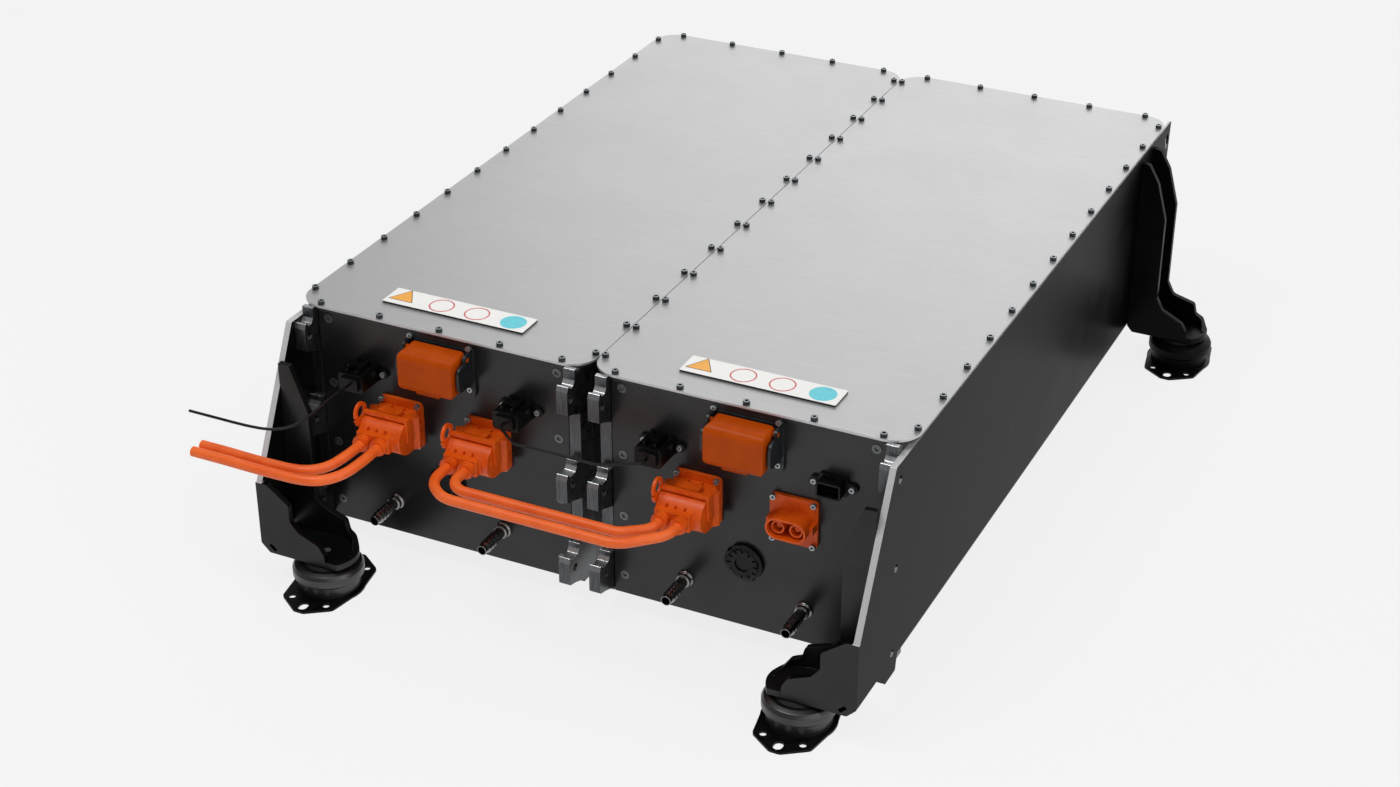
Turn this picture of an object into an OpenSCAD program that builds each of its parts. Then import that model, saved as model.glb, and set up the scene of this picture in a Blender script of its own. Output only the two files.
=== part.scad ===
// Marine battery pack: two liquid-cooled modules side by side in a pair of side
// frames that stand on four rubber mounts. Millimetres, front face toward -Y,
// origin on the floor under the middle of the pack.

/* [Module housing] */
// Width of one module housing
mod_w = 382; // [370:1:390]
// Length of one module housing, front panel to rear panel
mod_len = 1020; // [900:5:1150]
// Height of one module housing, without gasket and lid
mod_h = 303; // [295:1:330]
// Gap between the two housings
mod_gap = 27; // [27:1:50]
// Thickness of the housing side walls
wall_t = 4; // [2:0.5:5]
// Thickness of the housing floor
floor_t = 5; // [3:0.5:7]
// Radius of the lower housing edges
hem_r = 8; // [5:0.5:10]
// Thickness of the seat flange under the lid
rim_t = 2.5; // [2:0.25:3]
// Width of the seat flange inside the wall
rim_in = 18; // [12:1:24]
// Thickness of the front and rear panels
panel_t = 6; // [4:0.5:8]
// Width of the dark joint between a panel and its posts
panel_gap = 1; // [0.5:0.25:2]

/* [Lid] */
// Thickness of the lid sheet
lid_t = 3; // [2:0.5:5]
// Thickness of the lid gasket
gasket_t = 1.5; // [1:0.25:3]
// Lid overhang beyond the housing at each side
lid_over_side = 13; // [12:0.5:13]
// Lid overhang beyond the front and rear panels
lid_over_end = 7; // [6.5:0.5:12]
// Corner radius of the lid
lid_r = 35; // [25:1:45]
// Distance of the lid screws from the lid edge
screw_edge = 6; // [5.5:0.25:7]
// Spacing of the lid screws along the sides
screw_pitch = 80; // [60:5:110]
// Head diameter of the lid screws
lid_head_d = 8.5; // [8:0.25:9.5]
// Head height of the lid screws
lid_head_h = 5; // [4:0.5:6]
// Thread diameter of the lid screws
lid_bolt_d = 5; // [4:0.5:5.5]

/* [Corner posts] */
// Width of a corner post
post_w = 15; // [13:0.5:18]
// Depth of a corner post behind the panel face
post_d = 30; // [24:1:36]
// Vertical distance between the lifting lugs
lug_pitch = 118; // [112:1:119]
// Drop of the upper lug nose below the lid face
lug_drop = 24.5; // [24.5:0.5:28]
// Reach of the upper lug in front of the panel
lug_reach = 30.5; // [28:0.5:34]
// Extra reach of the two lower lugs
lug_extra = 7; // [3:0.5:9]
// Diameter of the lug bolt hole
lug_hole_d = 10; // [8:0.5:12]

/* [Service disconnect] */
// Sideways place of the disconnect from the module centre
msd_x = 2.5; // [-6:0.5:8]
// Drop of the disconnect centre below the lid face
msd_drop = 39; // [39:0.5:42]
// Width of the disconnect cover
msd_w = 76; // [70:1:76]
// Height of the disconnect cover
msd_h = 51.5; // [50:0.5:52]
// Reach of the disconnect cover in front of the panel
msd_reach = 43.5; // [40:0.5:48]
// Wall of the disconnect cover
msd_wall = 2.5; // [2:0.25:3]
// Radius of the long cover edges
msd_r = 12; // [8:1:14]
// Diameter of the cover pivot stubs
pivot_d = 6; // [5:0.5:7]
// Running clearance of the pivots on the radius
pivot_play = 0.05; // [0.03:0.01:0.1]

/* [Power connectors] */
// Sideways place of the inner power connector from the module centre
hv_x1 = -60.3; // [-66:0.1:-58]
// Sideways place of the outer power connector from the module centre
hv_x2 = 63.7; // [60:0.1:66]
// Drop of the power connectors below the lid face
hv_drop = 138.5; // [138:0.5:144]
// Width of the power connector flange
hv_w = 61; // [58:1:66]
// Height of the power connector flange
hv_h = 63; // [60:1:68]
// Thickness of the power connector flange
hv_t = 5; // [4:0.5:7]
// Distance between the two power contacts
hv_pitch = 23; // [21:0.5:24]
// Outer radius of the connector shroud
hv_r = 14; // [13:0.25:14.5]
// Reach of the connector shroud in front of the panel
hv_reach = 30; // [26:0.5:32]
// Wall of the connector shroud
hv_wall = 2.5; // [2:0.25:3]
// Clearance between the shroud and its plug
plug_gap = 0.5; // [0.3:0.1:0.8]
// Height of the power plug body
plug_h = 44; // [42:1:46]
// Half width of the power plug between its lever arms
plug_half = 29.5; // [29:0.5:31]
// Distance of the lever pivot in front of the panel
lever_d = 36; // [35:0.5:38]
// Thickness of a lever arm
arm_t = 3.5; // [3:0.5:4.5]
// Reach of the plug cable tubes in front of the panel
tube_reach = 76.5; // [74:0.5:80]
// Outer diameter of the plug cable tubes
tube_d = 20; // [17:0.5:21]
// Sideways shift of the cable tubes from the plug centre
tube_x = -4; // [-6:0.5:-2]
// Distance between the two cable tubes
tube_pitch = 24; // [21:0.5:25]
// Diameter of the power cables
hv_cable_d = 13; // [10:0.5:15]
// Centreline bend radius of the power jumper cables
hv_bend = 28; // [24:1:30]

/* [Signal connectors] */
// Sideways place of the inner signal connector from the module centre
lv_x1 = -107; // [-112:0.5:-106]
// Sideways place of the outer signal connector from the module centre
lv_x2 = 111.3; // [108:0.1:116]
// Drop of the signal connectors below the lid face
lv_drop = 77.5; // [74:0.5:80]
// Width of the signal socket
lv_w = 30; // [26:0.5:32]
// Height of the signal socket
lv_h = 20; // [18:0.5:21]
// Reach of the signal socket in front of the panel
lv_reach = 20; // [16:0.5:24]
// Reach of the signal plug in front of the panel
lv_plug_reach = 46.5; // [44:0.5:52]
// Diameter of the signal cables
lv_cable_d = 3.5; // [3:0.25:5]
// Centreline bend radius of the signal jumper cable
lv_bend = 14; // [10:1:15]

/* [Vent and coolant ports] */
// Drop of the pressure vent below the lid face
vent_drop = 215.5; // [212:0.5:222]
// Diameter of the pressure vent
vent_d = 50; // [40:1:54]
// Height of the pressure vent
vent_h = 8; // [6:0.5:12]
// Distance of the coolant ports from the module centre
port_x = 78; // [70:1:84]
// Drop of the coolant ports below the lid face
port_drop = 261.5; // [258:0.5:266]
// Reach of the coolant ports in front of the panel
port_reach = 55.5; // [50:0.5:60]
// Diameter of the coolant hose barbs
port_d = 16; // [14:0.5:18]
// Bore of the coolant ports
port_bore = 11; // [8:0.5:12]

/* [Label plates] */
// Length of a label plate
label_l = 199; // [150:1:240]
// Width of a label plate
label_w = 39; // [30:1:50]
// Thickness of a label plate
label_t = 2.5; // [1:0.25:3]
// Distance of the label plate behind the lid front edge
label_in = 42.5; // [36:0.5:60]

/* [Side frames] */
// Thickness of the side plate
plate_t = 8; // [6:0.5:10]
// Height of the side plate
plate_h = 268.5; // [266:0.5:272]
// Height of the plate lower edge above the bracket underside
plate_rise = 12.5; // [10:0.5:16]
// Drop of the housings below the plate lower edge
mod_drop = 24.5; // [20:0.5:28]
// Reach of the plate behind the rear panel
plate_over = 38.5; // [36:0.5:50]
// Thickness of the bracket flanges
br_t = 8; // [6:0.5:10]
// Distance from one bracket flange face to the next
br_gap = 58; // [54:1:64]
// Lead of the front bracket face ahead of its mount
front_lead = 26; // [24:0.5:28]
// Lead of the rear bracket face ahead of its mount
rear_lead = 29; // [26:0.5:31]
// Depth of the bracket leg at the front
neck_front = 46; // [42:0.5:50]
// Depth of the bracket leg at the rear
neck_rear = 40; // [36:0.5:46]
// Height of the bent end wall above the bracket underside
bend_h = 18; // [14:0.5:19]

/* [Rubber mounts] */
// Height of a mount, floor to bracket underside
mount_h = 43; // [40:1:60]
// Distance of the front mounts inside the plate inner face
front_in = 72.5; // [70:0.5:80]
// Distance of the front mounts ahead of the panel face
front_out = 103.5; // [100:0.5:112]
// Distance of the rear mounts outside the plate outer face
rear_out = 74.5; // [70:0.5:84]
// Distance of the rear mounts ahead of the rear panel face
rear_in = 73.5; // [70:0.5:90]
// Length of the mount foot plate
foot_l = 144; // [140:1:150]
// Width of the mount foot plate
foot_w = 92; // [88:1:98]
// Thickness of the mount foot plate
foot_t = 3; // [2:0.5:5]
// Spacing of the small foot holes across the foot
foot_sx = 50; // [46:1:52]
// Spacing of the small foot holes along the foot
foot_sy = 94; // [90:1:96]
// Diameter of the small foot holes
foot_hole_d = 9; // [7:0.5:10]
// Diameter of the bell skirt
bell_d = 80; // [76:1:82]
// Diameter of the bell shoulder
ring_d = 90; // [86:1:92]
// Diameter of the mount stud
stud_d = 10; // [8:0.5:14]

/* [Hidden] */
$fn = 48;
eps = 0.01;

// Colours
c_lid = "#c9cbcc";
c_black = "#1b1c1d";
c_case = "#3a3b3c";
c_steel = "#8d9194";
c_orange = "#d4480c";
c_cable = "#dd5216";
c_light = "#b9bdc0";

// Plan of the pack: the origin lies in the middle of the whole outline
y_face = (front_out + foot_l / 2 - mod_len - plate_over) / 2;
y_rear = y_face + mod_len;
mod_c = (mod_w + mod_gap) / 2;
plate_in = mod_c + mod_w / 2;
plate_out = plate_in + plate_t;

// Levels
z_br = mount_h;
z_web = z_br + plate_rise;
z_top = z_web + plate_h;
z_mod = z_web - mod_drop;
z_rim = z_mod + mod_h;
z_seat = z_rim - rim_t;
z_lid = z_rim + gasket_t + lid_t;

// Lid plan
lid_w = mod_w + 2 * lid_over_side;
lid_l = mod_len + 2 * lid_over_end;
lid_yc = y_face + mod_len / 2;
rim_inset = 1.5;
side_rows = floor((lid_l - 2 * lid_r) / screw_pitch);
end_rows = 2;
end_pitch = (lid_w - 2 * lid_r) / (2 * end_rows);

// Mount centres
front_mx = plate_in - front_in;
front_my = y_face - front_out;
rear_mx = plate_out + rear_out;
rear_my = y_rear - rear_in;

// Screws of the panels and connectors
panel_screw_x = mod_w / 2 - post_w - panel_gap - 14;
panel_screw_drops = [19, 109.5, 195.5, 280.5];
panel_head_d = 12;
con_head_d = 7;
con_head_h = 4.5;
con_bolt_d = 4;
con_bolt_l = 14;
hole_gap = 0.4;
msd_sx = 41;
msd_sy = 28;
msd_t = 4.5;
hv_sx = 25.5;
hv_sy = 28;
lv_sx = 23.7;
lv_t = 4;

// Rounded outline: each point carries its own corner radius
function unit(v) = v / norm(v);
function arc_corner(p, q, s, r) =
    r <= 0 ? [q] :
    let(a = unit(p - q), b = unit(s - q), half = acos(a * b) / 2,
        c = q + unit(a + b) * r / sin(half),
        t0 = q + a * r / tan(half) - c, t1 = q + b * r / tan(half) - c,
        g0 = atan2(t0[1], t0[0]), g1 = atan2(t1[1], t1[0]),
        sw = g1 - g0 > 180 ? g1 - g0 - 360 : (g1 - g0 < -180 ? g1 - g0 + 360 : g1 - g0),
        n = max(2, ceil(abs(sw) / 18)))
    [for (k = [0 : n]) c + r * [cos(g0 + sw * k / n), sin(g0 + sw * k / n)]];
function xy(p) = [p[0], p[1]];
function soft(pts) = let(n = len(pts))
    [for (i = [0 : n - 1])
        each arc_corner(xy(pts[(i + n - 1) % n]), xy(pts[i]), xy(pts[(i + 1) % n]), pts[i][2])];

module rrect(w, l, r) {
    square([w - 2 * r, l], center = true);
    square([w, l - 2 * r], center = true);
    for (i = [-1, 1], j = [-1, 1])
        translate([i * (w / 2 - r), j * (l / 2 - r)]) circle(r = r);
}

module racetrack(r, pitch) {
    square([pitch, 2 * r], center = true);
    for (i = [-1, 1]) translate([i * pitch / 2, 0]) circle(r = r);
}

// Local frame on a front panel: x sideways, y up, z out of the panel
module on_panel(side, x, drop) {
    translate([side * mod_c + x, y_face, z_lid - drop]) rotate([90, 0, 0]) children();
}

// Outline in the Y-Z plane, extruded along +X
module along_x(x, t) {
    translate([x, 0, 0]) rotate([90, 0, 90]) linear_extrude(t) children();
}

// Outline in the X-Z plane, extruded along +Y
module along_y(y, t) {
    translate([0, y + t, 0]) rotate([90, 0, 0]) linear_extrude(t) children();
}

module sides(s) {
    if (s < 0) mirror([1, 0, 0]) children();
    else children();
}

// Screw with a socket head: head above z = 0, thread below
module socket_screw(hd, hh, d, l) {
    difference() {
        union() {
            cylinder(d = hd, h = hh, $fn = 24);
            translate([0, 0, -l]) cylinder(d = d, h = l + eps, $fn = 16);
        }
        translate([0, 0, hh * 0.4]) cylinder(d = hd * 0.55, h = hh, $fn = 6);
    }
}

// Places of the lid screws of one module, seen from its own centre
module lid_screw_places() {
    for (i = [-1, 1], j = [-side_rows / 2 : side_rows / 2])
        translate([i * (lid_w / 2 - screw_edge), lid_yc + j * screw_pitch, 0]) children();
    for (i = [-end_rows : end_rows], j = [-1, 1])
        translate([i * end_pitch, lid_yc + j * (lid_l / 2 - screw_edge), 0]) children();
}

// Housing section: floor and walls folded from one sheet
function case_pts(w, z0, z1, r) = [[-w / 2, z1, 0], [-w / 2, z0, r], [w / 2, z0, r], [w / 2, z1, 0]];

module housing(side) {
    color(c_case) translate([side * mod_c, 0, 0]) {
        difference() {
            along_y(y_face + panel_t, mod_len - 2 * panel_t) difference() {
                polygon(soft(case_pts(mod_w, z_mod, z_seat, hem_r)));
                polygon(soft(case_pts(mod_w - 2 * wall_t, z_mod + floor_t, z_seat + 1,
                    max(0.5, hem_r - wall_t))));
            }
            for (i = [-1, 1], e = [0, 1])
                translate([i > 0 ? mod_w / 2 - post_w : -mod_w / 2 - 1,
                    e == 0 ? y_face - 1 : y_rear - post_d, z_mod - 1])
                    cube([post_w + 1, post_d + 1, mod_h + 2]);
        }
        difference() {
            translate([0, lid_yc, z_seat]) linear_extrude(rim_t) difference() {
                rrect(lid_w - 2 * rim_inset, lid_l - 2 * rim_inset, lid_r - rim_inset);
                rrect(mod_w - 2 * rim_in, mod_len - 2 * rim_in, 10);
            }
            lid_screw_places() translate([0, 0, z_seat - 1])
                cylinder(d = lid_bolt_d + hole_gap, h = rim_t + 2, $fn = 16);
        }
    }
}

module lid_sheet(z, t) {
    translate([0, lid_yc, z]) linear_extrude(t) rrect(lid_w, lid_l, lid_r);
}

module lid(side) {
    color(c_lid) translate([side * mod_c, 0, 0]) difference() {
        lid_sheet(z_lid - lid_t, lid_t);
        lid_screw_places() translate([0, 0, z_lid - lid_t - 1])
            cylinder(d = lid_bolt_d + hole_gap, h = lid_t + 2, $fn = 16);
    }
}

module lid_gaskets() {
    color(c_black) for (side = [-1, 1]) translate([side * mod_c, 0, 0]) difference() {
        translate([0, lid_yc, z_rim]) linear_extrude(gasket_t) difference() {
            rrect(lid_w - 2 * rim_inset, lid_l - 2 * rim_inset, lid_r - rim_inset);
            rrect(mod_w - 2 * rim_in, mod_len - 2 * rim_in, 10);
        }
        lid_screw_places() translate([0, 0, z_rim - 1])
            cylinder(d = lid_bolt_d + hole_gap, h = gasket_t + 2, $fn = 16);
    }
}

module lid_screws() {
    color(c_steel) for (side = [-1, 1]) translate([side * mod_c, 0, 0]) lid_screw_places()
        translate([0, 0, z_lid]) socket_screw(lid_head_d, lid_head_h, lid_bolt_d, lid_t + gasket_t + rim_t);
}

// Plain end panel between two posts
module panel_blank() {
    w = mod_w - 2 * post_w - 2 * panel_gap;
    translate([-w / 2, 0, z_mod]) cube([w, panel_t, z_seat - z_mod]);
}

module panel_screw_places() {
    for (i = [-1, 1], d = panel_screw_drops)
        translate([i * panel_screw_x, 0, z_lid - d]) children();
}

module front_panel(side) {
    color(c_case) difference() {
        translate([side * mod_c, y_face, 0]) difference() {
            panel_blank();
            panel_screw_places() rotate([90, 0, 0]) {
                translate([0, 0, -2]) cylinder(d = panel_head_d + hole_gap, h = 3);
                translate([0, 0, -panel_t - 1]) cylinder(d = 6 + hole_gap, h = panel_t + 2, $fn = 24);
            }
        }
        for (x = [hv_x1, hv_x2]) on_panel(side, x, hv_drop) translate([0, 0, -panel_t - 1]) {
            linear_extrude(panel_t + 2) racetrack(hv_r - 2, hv_pitch);
            for (i = [-1, 1], j = [-1, 1]) translate([i * hv_sx, j * hv_sy, 0])
                cylinder(d = con_bolt_d + hole_gap, h = panel_t + 2, $fn = 16);
        }
        for (x = [lv_x1, lv_x2]) on_panel(side, x, lv_drop) translate([0, 0, -panel_t - 1]) {
            linear_extrude(panel_t + 2) square([lv_w - 4, lv_h - 4], center = true);
            for (i = [-1, 1]) translate([i * lv_sx, 0, 0])
                cylinder(d = con_bolt_d + hole_gap, h = panel_t + 2, $fn = 16);
        }
        on_panel(side, msd_x, msd_drop) translate([0, 0, -panel_t - 1]) {
            linear_extrude(panel_t + 2) square([56, 30], center = true);
            for (i = [-1, 1], j = [-1, 1]) translate([i * msd_sx, j * msd_sy, 0])
                cylinder(d = con_bolt_d + hole_gap, h = panel_t + 2, $fn = 16);
        }
        on_panel(side, 0, vent_drop) translate([0, 0, -panel_t - 1])
            cylinder(d = vent_d - 20, h = panel_t + 2);
        for (i = [-1, 1]) on_panel(side, i * port_x, port_drop) translate([0, 0, -panel_t - 1])
            cylinder(d = port_d + 2 + hole_gap, h = panel_t + 2);
    }
}

module rear_panels() {
    color(c_case) for (side = [-1, 1]) translate([side * mod_c, y_rear, 0]) difference() {
        translate([0, -panel_t, 0]) panel_blank();
        panel_screw_places() rotate([-90, 0, 0]) {
            translate([0, 0, -2]) cylinder(d = panel_head_d + hole_gap, h = 3);
            translate([0, 0, -panel_t - 1]) cylinder(d = 6 + hole_gap, h = panel_t + 2, $fn = 24);
        }
    }
}

// Flush panel screws with a cross-cut hexagon socket
module panel_screws() {
    color(c_steel) for (side = [-1, 1], e = [0, 1])
        translate([side * mod_c, e == 0 ? y_face : y_rear, 0])
            panel_screw_places() rotate([e == 0 ? 90 : -90, 0, 0]) difference() {
                union() {
                    translate([0, 0, -2]) cylinder(d = panel_head_d, h = 2.6);
                    translate([0, 0, -16]) cylinder(d = 6, h = 15, $fn = 24);
                }
                translate([0, 0, -1]) cylinder(d = 6, h = 3, $fn = 6);
            }
}

// Lug profile in the Y-Z plane, y = reach in front of the panel, nose level at h = 0.
// The rear posts start at the second lug, because the plate's slot stays open behind
function lug_pts(reach, top) = [[-1, top, 0], [top > 16 ? 5 : 9, top, 0],
    [top > 16 ? 5 : 9, top + 4, 0], [11, top + 4, 1.5], [11.5, 8, 3], [15.5, 2.5, 3],
    [reach - 9, 1.5, 3], [reach - 3.5, 8.5, 2], [reach, 0, 2], [reach, -31, 3],
    [reach * 0.5 + 3, -35, 6], [3.5, -42, 3], [-1, -44, 0]];
lug_hole_in = 22.5;
lug_hole_drop = 12;
lug_seat = z_seat - (z_lid - lug_drop);

function lug_reach_at(k) = lug_reach + (k > 0 ? lug_extra : 0);

module corner_post(first) {
    difference() {
        union() {
            translate([-post_w / 2, 0, z_mod]) cube([post_w, post_d, z_seat - z_mod]);
            for (k = [first : 2]) translate([0, 0, z_lid - lug_drop - k * lug_pitch])
                rotate([90, 0, -90]) translate([0, 0, -post_w / 2]) linear_extrude(post_w)
                    polygon(soft(lug_pts(lug_reach_at(k), k == 0 ? lug_seat : 11)));
        }
        for (k = [first : 2])
            translate([-post_w / 2 - 1, -lug_hole_in, z_lid - lug_drop - k * lug_pitch - lug_hole_drop])
                rotate([0, 90, 0]) cylinder(d = lug_hole_d, h = post_w + 2);
    }
}

module corner_posts(side) {
    color(c_light) translate([side * mod_c, 0, 0]) for (i = [-1, 1]) {
        translate([i * (mod_w - post_w) / 2, y_face, 0]) corner_post(0);
        translate([i * (mod_w - post_w) / 2, y_rear, 0]) mirror([0, 1, 0]) corner_post(1);
    }
}

// Inner parts: two columns of cell blocks on a cooling plate
cool_t = 12;
bay = 130;
cell_rows = 6;
cell_gap = 6;
cell_h = 205;
cell_w = (mod_w - 2 * wall_t - 3 * cell_gap) / 2;
rear_room = post_d + 4;
cell_l = (mod_len - panel_t - bay - rear_room - (cell_rows - 1) * cell_gap) / cell_rows;
cell_z = z_mod + floor_t + cool_t;
cell_y0 = y_face + panel_t + bay;

module cell_places() {
    for (i = [-1, 1], j = [0 : cell_rows - 1])
        translate([i * (cell_w + cell_gap) / 2, cell_y0 + cell_l / 2 + j * (cell_l + cell_gap), cell_z])
            children();
}

module cell_modules(side) {
    color("#4f7f9f") translate([side * mod_c, 0, 0]) cell_places() difference() {
        union() {
            translate([-cell_w / 2, -cell_l / 2, 0]) cube([cell_w, cell_l, cell_h]);
            for (k = [-1, 1]) translate([0, k * (cell_l / 2 - 20), cell_h - eps])
                cylinder(d = 14, h = 6 + eps, $fn = 24);
        }
        for (k = [1 : 5]) translate([-cell_w / 2 - 1, -cell_l / 2 + k * cell_l / 6 - 1, 30])
            cube([3, 2, cell_h - 60]);
    }
}

module busbars() {
    color("#b87333") for (side = [-1, 1]) translate([side * mod_c, 0, 0]) {
        for (i = [-1, 1], j = [0 : cell_rows - 2])
            translate([i * (cell_w + cell_gap) / 2 - 10, cell_y0 + cell_l - 28 + j * (cell_l + cell_gap),
                cell_z + cell_h + 6]) cube([20, 56 + cell_gap, 3]);
        translate([-(cell_w + cell_gap) / 2 - 10, y_rear - rear_room - 30, cell_z + cell_h + 6])
            cube([cell_w + cell_gap + 20, 20, 3]);
    }
}

module cooling_plates() {
    color(c_steel) for (side = [-1, 1]) {
        translate([side * mod_c - mod_w / 2 + wall_t + 6, cell_y0 - 20, z_mod + floor_t])
            cube([mod_w - 2 * wall_t - 12, y_rear - rear_room - cell_y0 + 20, cool_t]);
        for (i = [-1, 1]) on_panel(side, i * port_x, port_drop) {
            difference() {
                translate([-14, z_mod + floor_t - (z_lid - port_drop), -panel_t - 40])
                    cube([28, z_lid - port_drop - z_mod - floor_t + 14, 28]);
                translate([0, 0, -panel_t - 30]) cylinder(d = port_bore, h = 40);
            }
            translate([-10, z_mod + floor_t - (z_lid - port_drop), -panel_t - bay + 20 - eps])
                cube([20, cool_t, bay - 20 - 40 + 2 * eps]);
        }
    }
}

// Contactors and main fuse on their tray behind the front panel
tray_w = mod_w - 2 * wall_t - 74;
tray_h = cell_h - 25;

module junction_boxes() {
    color("#2c2f33") for (side = [-1, 1]) translate([side * mod_c, y_face + panel_t, 0]) {
        translate([-tray_w / 2, 50, cell_z]) cube([tray_w, 8, tray_h]);
        for (i = [-1, 1]) translate([i * 55, 58 - eps, z_mod + 120]) rotate([-90, 0, 0])
            cylinder(d = 60, h = 45);
        translate([-25, 58 - eps, z_mod + 165]) cube([50, 30, 26]);
        translate([-tray_w / 2, 50, cell_z]) cube([tray_w, 40, 6]);
    }
}

module management_boards() {
    color("#1f6b3a") for (side = [-1, 1])
        translate([side * mod_c, cell_y0 + cell_l / 2, cell_z + cell_h]) {
            for (i = [-1, 1], j = [-1, 1]) translate([i * 70, j * 34, 0]) cylinder(d = 8, h = 16, $fn = 24);
            translate([-80, -44, 16 - eps]) cube([160, 88, 1.6]);
            for (k = [-2 : 2]) translate([k * 28 - 9, -12, 17.6 - 2 * eps]) cube([18, 24, 3]);
            translate([-60, -42, 17.6 - 2 * eps]) cube([120, 12, 8]);
        }
}

// Service disconnect: base with two ears, cover that hinges between them
msd_half = msd_w / 2;
msd_up = msd_h * 0.466;
msd_dn = msd_h - msd_up;
msd_back = 9.5;
ear_gap = 3;
ear_t = 3.5;
ear_in = msd_half + ear_gap;
ear_reach = 37.5;
msd_pd = 15.5;
msd_pw = msd_up - 6.5;
collar_t = 1.8;

module disconnect_base(side) {
    color(c_black) on_panel(side, msd_x, msd_drop) difference() {
        union() {
            linear_extrude(msd_t) polygon(soft([[-47, -43.5, 12], [-47, 31, 6], [47, 31, 6], [47, -43.5, 12]]));
            translate([0, 0, msd_t - eps]) linear_extrude(collar_t + eps)
                polygon(soft([[-msd_half, -msd_dn - 2, 8], [-msd_half, msd_up + 1, 4],
                    [msd_half, msd_up + 1, 4], [msd_half, -msd_dn - 2, 8]]));
            translate([-msd_w / 2 + 5, -msd_pw + 2.5, 0]) cube([msd_w - 10, 2 * msd_pw - 11, msd_t + collar_t + 6]);
            for (i = [-1, 1]) translate([i > 0 ? ear_in : -ear_in - ear_t, 0, 0]) {
                translate([0, 0, msd_t - eps]) rotate([0, 90, 0]) mirror([1, 0, 0]) linear_extrude(ear_t)
                    polygon(soft([[0, -20, 0], [ear_reach - msd_t, -18.5, 7],
                        [ear_reach - msd_t, 13, 9], [msd_pd - msd_t + 5, 14.5, 3], [0, 14.5, 0]]));
                translate([0, msd_pw, msd_pd]) rotate([0, 90, 0]) cylinder(d = pivot_d + 8, h = ear_t);
                translate([0, msd_pw - pivot_d / 2 - 4, msd_t - eps])
                    cube([ear_t, pivot_d + 8, msd_pd - msd_t]);
            }
        }
        for (i = [-1, 1], j = [-1, 1]) translate([i * msd_sx, j * msd_sy, -1])
            cylinder(d = con_bolt_d + hole_gap, h = msd_t + 2, $fn = 16);
        for (i = [-1, 1]) translate([i > 0 ? ear_in - 1 : -ear_in - ear_t - 1, msd_pw, msd_pd])
            rotate([0, 90, 0]) cylinder(d = pivot_d + 2 * pivot_play, h = ear_t + 2);
    }
}

// Block with one rounded long edge toward the top front and round upright corners
module msd_block(g, back) {
    w = msd_w - 2 * g;
    intersection() {
        translate([0, 0, back]) linear_extrude(msd_reach - g - back)
            polygon(soft([[-w / 2, -msd_dn + g, 7], [-w / 2, msd_up - g, 7],
                [w / 2, msd_up - g, 7], [w / 2, -msd_dn + g, 7]]));
        rotate([0, 90, 0]) mirror([1, 0, 0]) translate([0, 0, -w / 2]) linear_extrude(w)
            polygon(soft([[back - 1, -msd_dn + g - 1, 0], [msd_reach - g, -msd_dn + g - 1, 7],
                [msd_reach - g, msd_up - g, max(2, msd_r - g)], [back - 1, msd_up - g, 0]]));
    }
}

module disconnect_cover(side) {
    color(c_orange) on_panel(side, msd_x, msd_drop) {
        difference() {
            union() {
                msd_block(0, msd_back);
                translate([-16, -msd_dn - 4, msd_reach - 14]) linear_extrude(9) square([32, 8]);
            }
            msd_block(msd_wall, msd_back - 1.5);
        }
        for (i = [-1, 1]) translate([i > 0 ? msd_half - eps : -msd_half - ear_gap - ear_t, msd_pw, msd_pd])
            rotate([0, 90, 0]) cylinder(d = pivot_d, h = ear_gap + ear_t + eps);
    }
}

module service_links() {
    color(c_light) for (side = [-1, 1]) on_panel(side, msd_x, msd_drop)
        translate([0, -5, msd_t + collar_t + 6]) {
            for (i = [-1, 1]) translate([i * 20 - 5, -7, 0]) cube([10, 14, 9]);
            translate([-27, -7, 9 - eps]) cube([54, 14, 3]);
            rotate([0, 90, 0]) mirror([1, 0, 0]) translate([6, 0, -13]) cylinder(d = 11, h = 26);
        }
}

// Power connector header with two touch-proof contacts
module power_header() {
    ear_l = 18;
    difference() {
        union() {
            linear_extrude(hv_t) rrect(hv_w, hv_h, 6);
            linear_extrude(hv_reach) racetrack(hv_r, hv_pitch);
            translate([-hv_pitch / 2 - hv_r - 4, -5, 0]) cube([hv_pitch + 2 * hv_r + 8, 10, ear_l]);
        }
        translate([0, 0, hv_t - 2]) linear_extrude(hv_reach) racetrack(hv_r - hv_wall, hv_pitch);
        for (i = [-1, 1], j = [-1, 1]) translate([i * hv_sx, j * hv_sy, -1])
            cylinder(d = con_bolt_d + hole_gap, h = hv_t + 2, $fn = 16);
    }
    translate([0, 0, -14]) linear_extrude(14 + hv_t - 2 + eps) racetrack(hv_r - 2.5, hv_pitch);
    for (i = [-1, 1]) translate([i * hv_pitch / 2, 0, hv_t - 2 - eps]) {
        difference() {
            cylinder(d = 17, h = hv_reach - hv_t - 3);
            translate([0, 0, 2]) cylinder(d = 12.5, h = hv_reach);
        }
        cylinder(d = 7, h = hv_reach - hv_t - 8);
    }
}

module power_headers(side) {
    color(c_orange) for (x = [hv_x1, hv_x2]) on_panel(side, x, hv_drop) power_header();
}

// Power plug: waisted body with a cam-shaped nose, top pad and two cable tubes
plug_wide = 36;
body_r = plug_h / 2;
nose_h = 21;
nose_end = tube_reach - 10;
pad_h = 6;
bar_in = 24;

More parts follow.
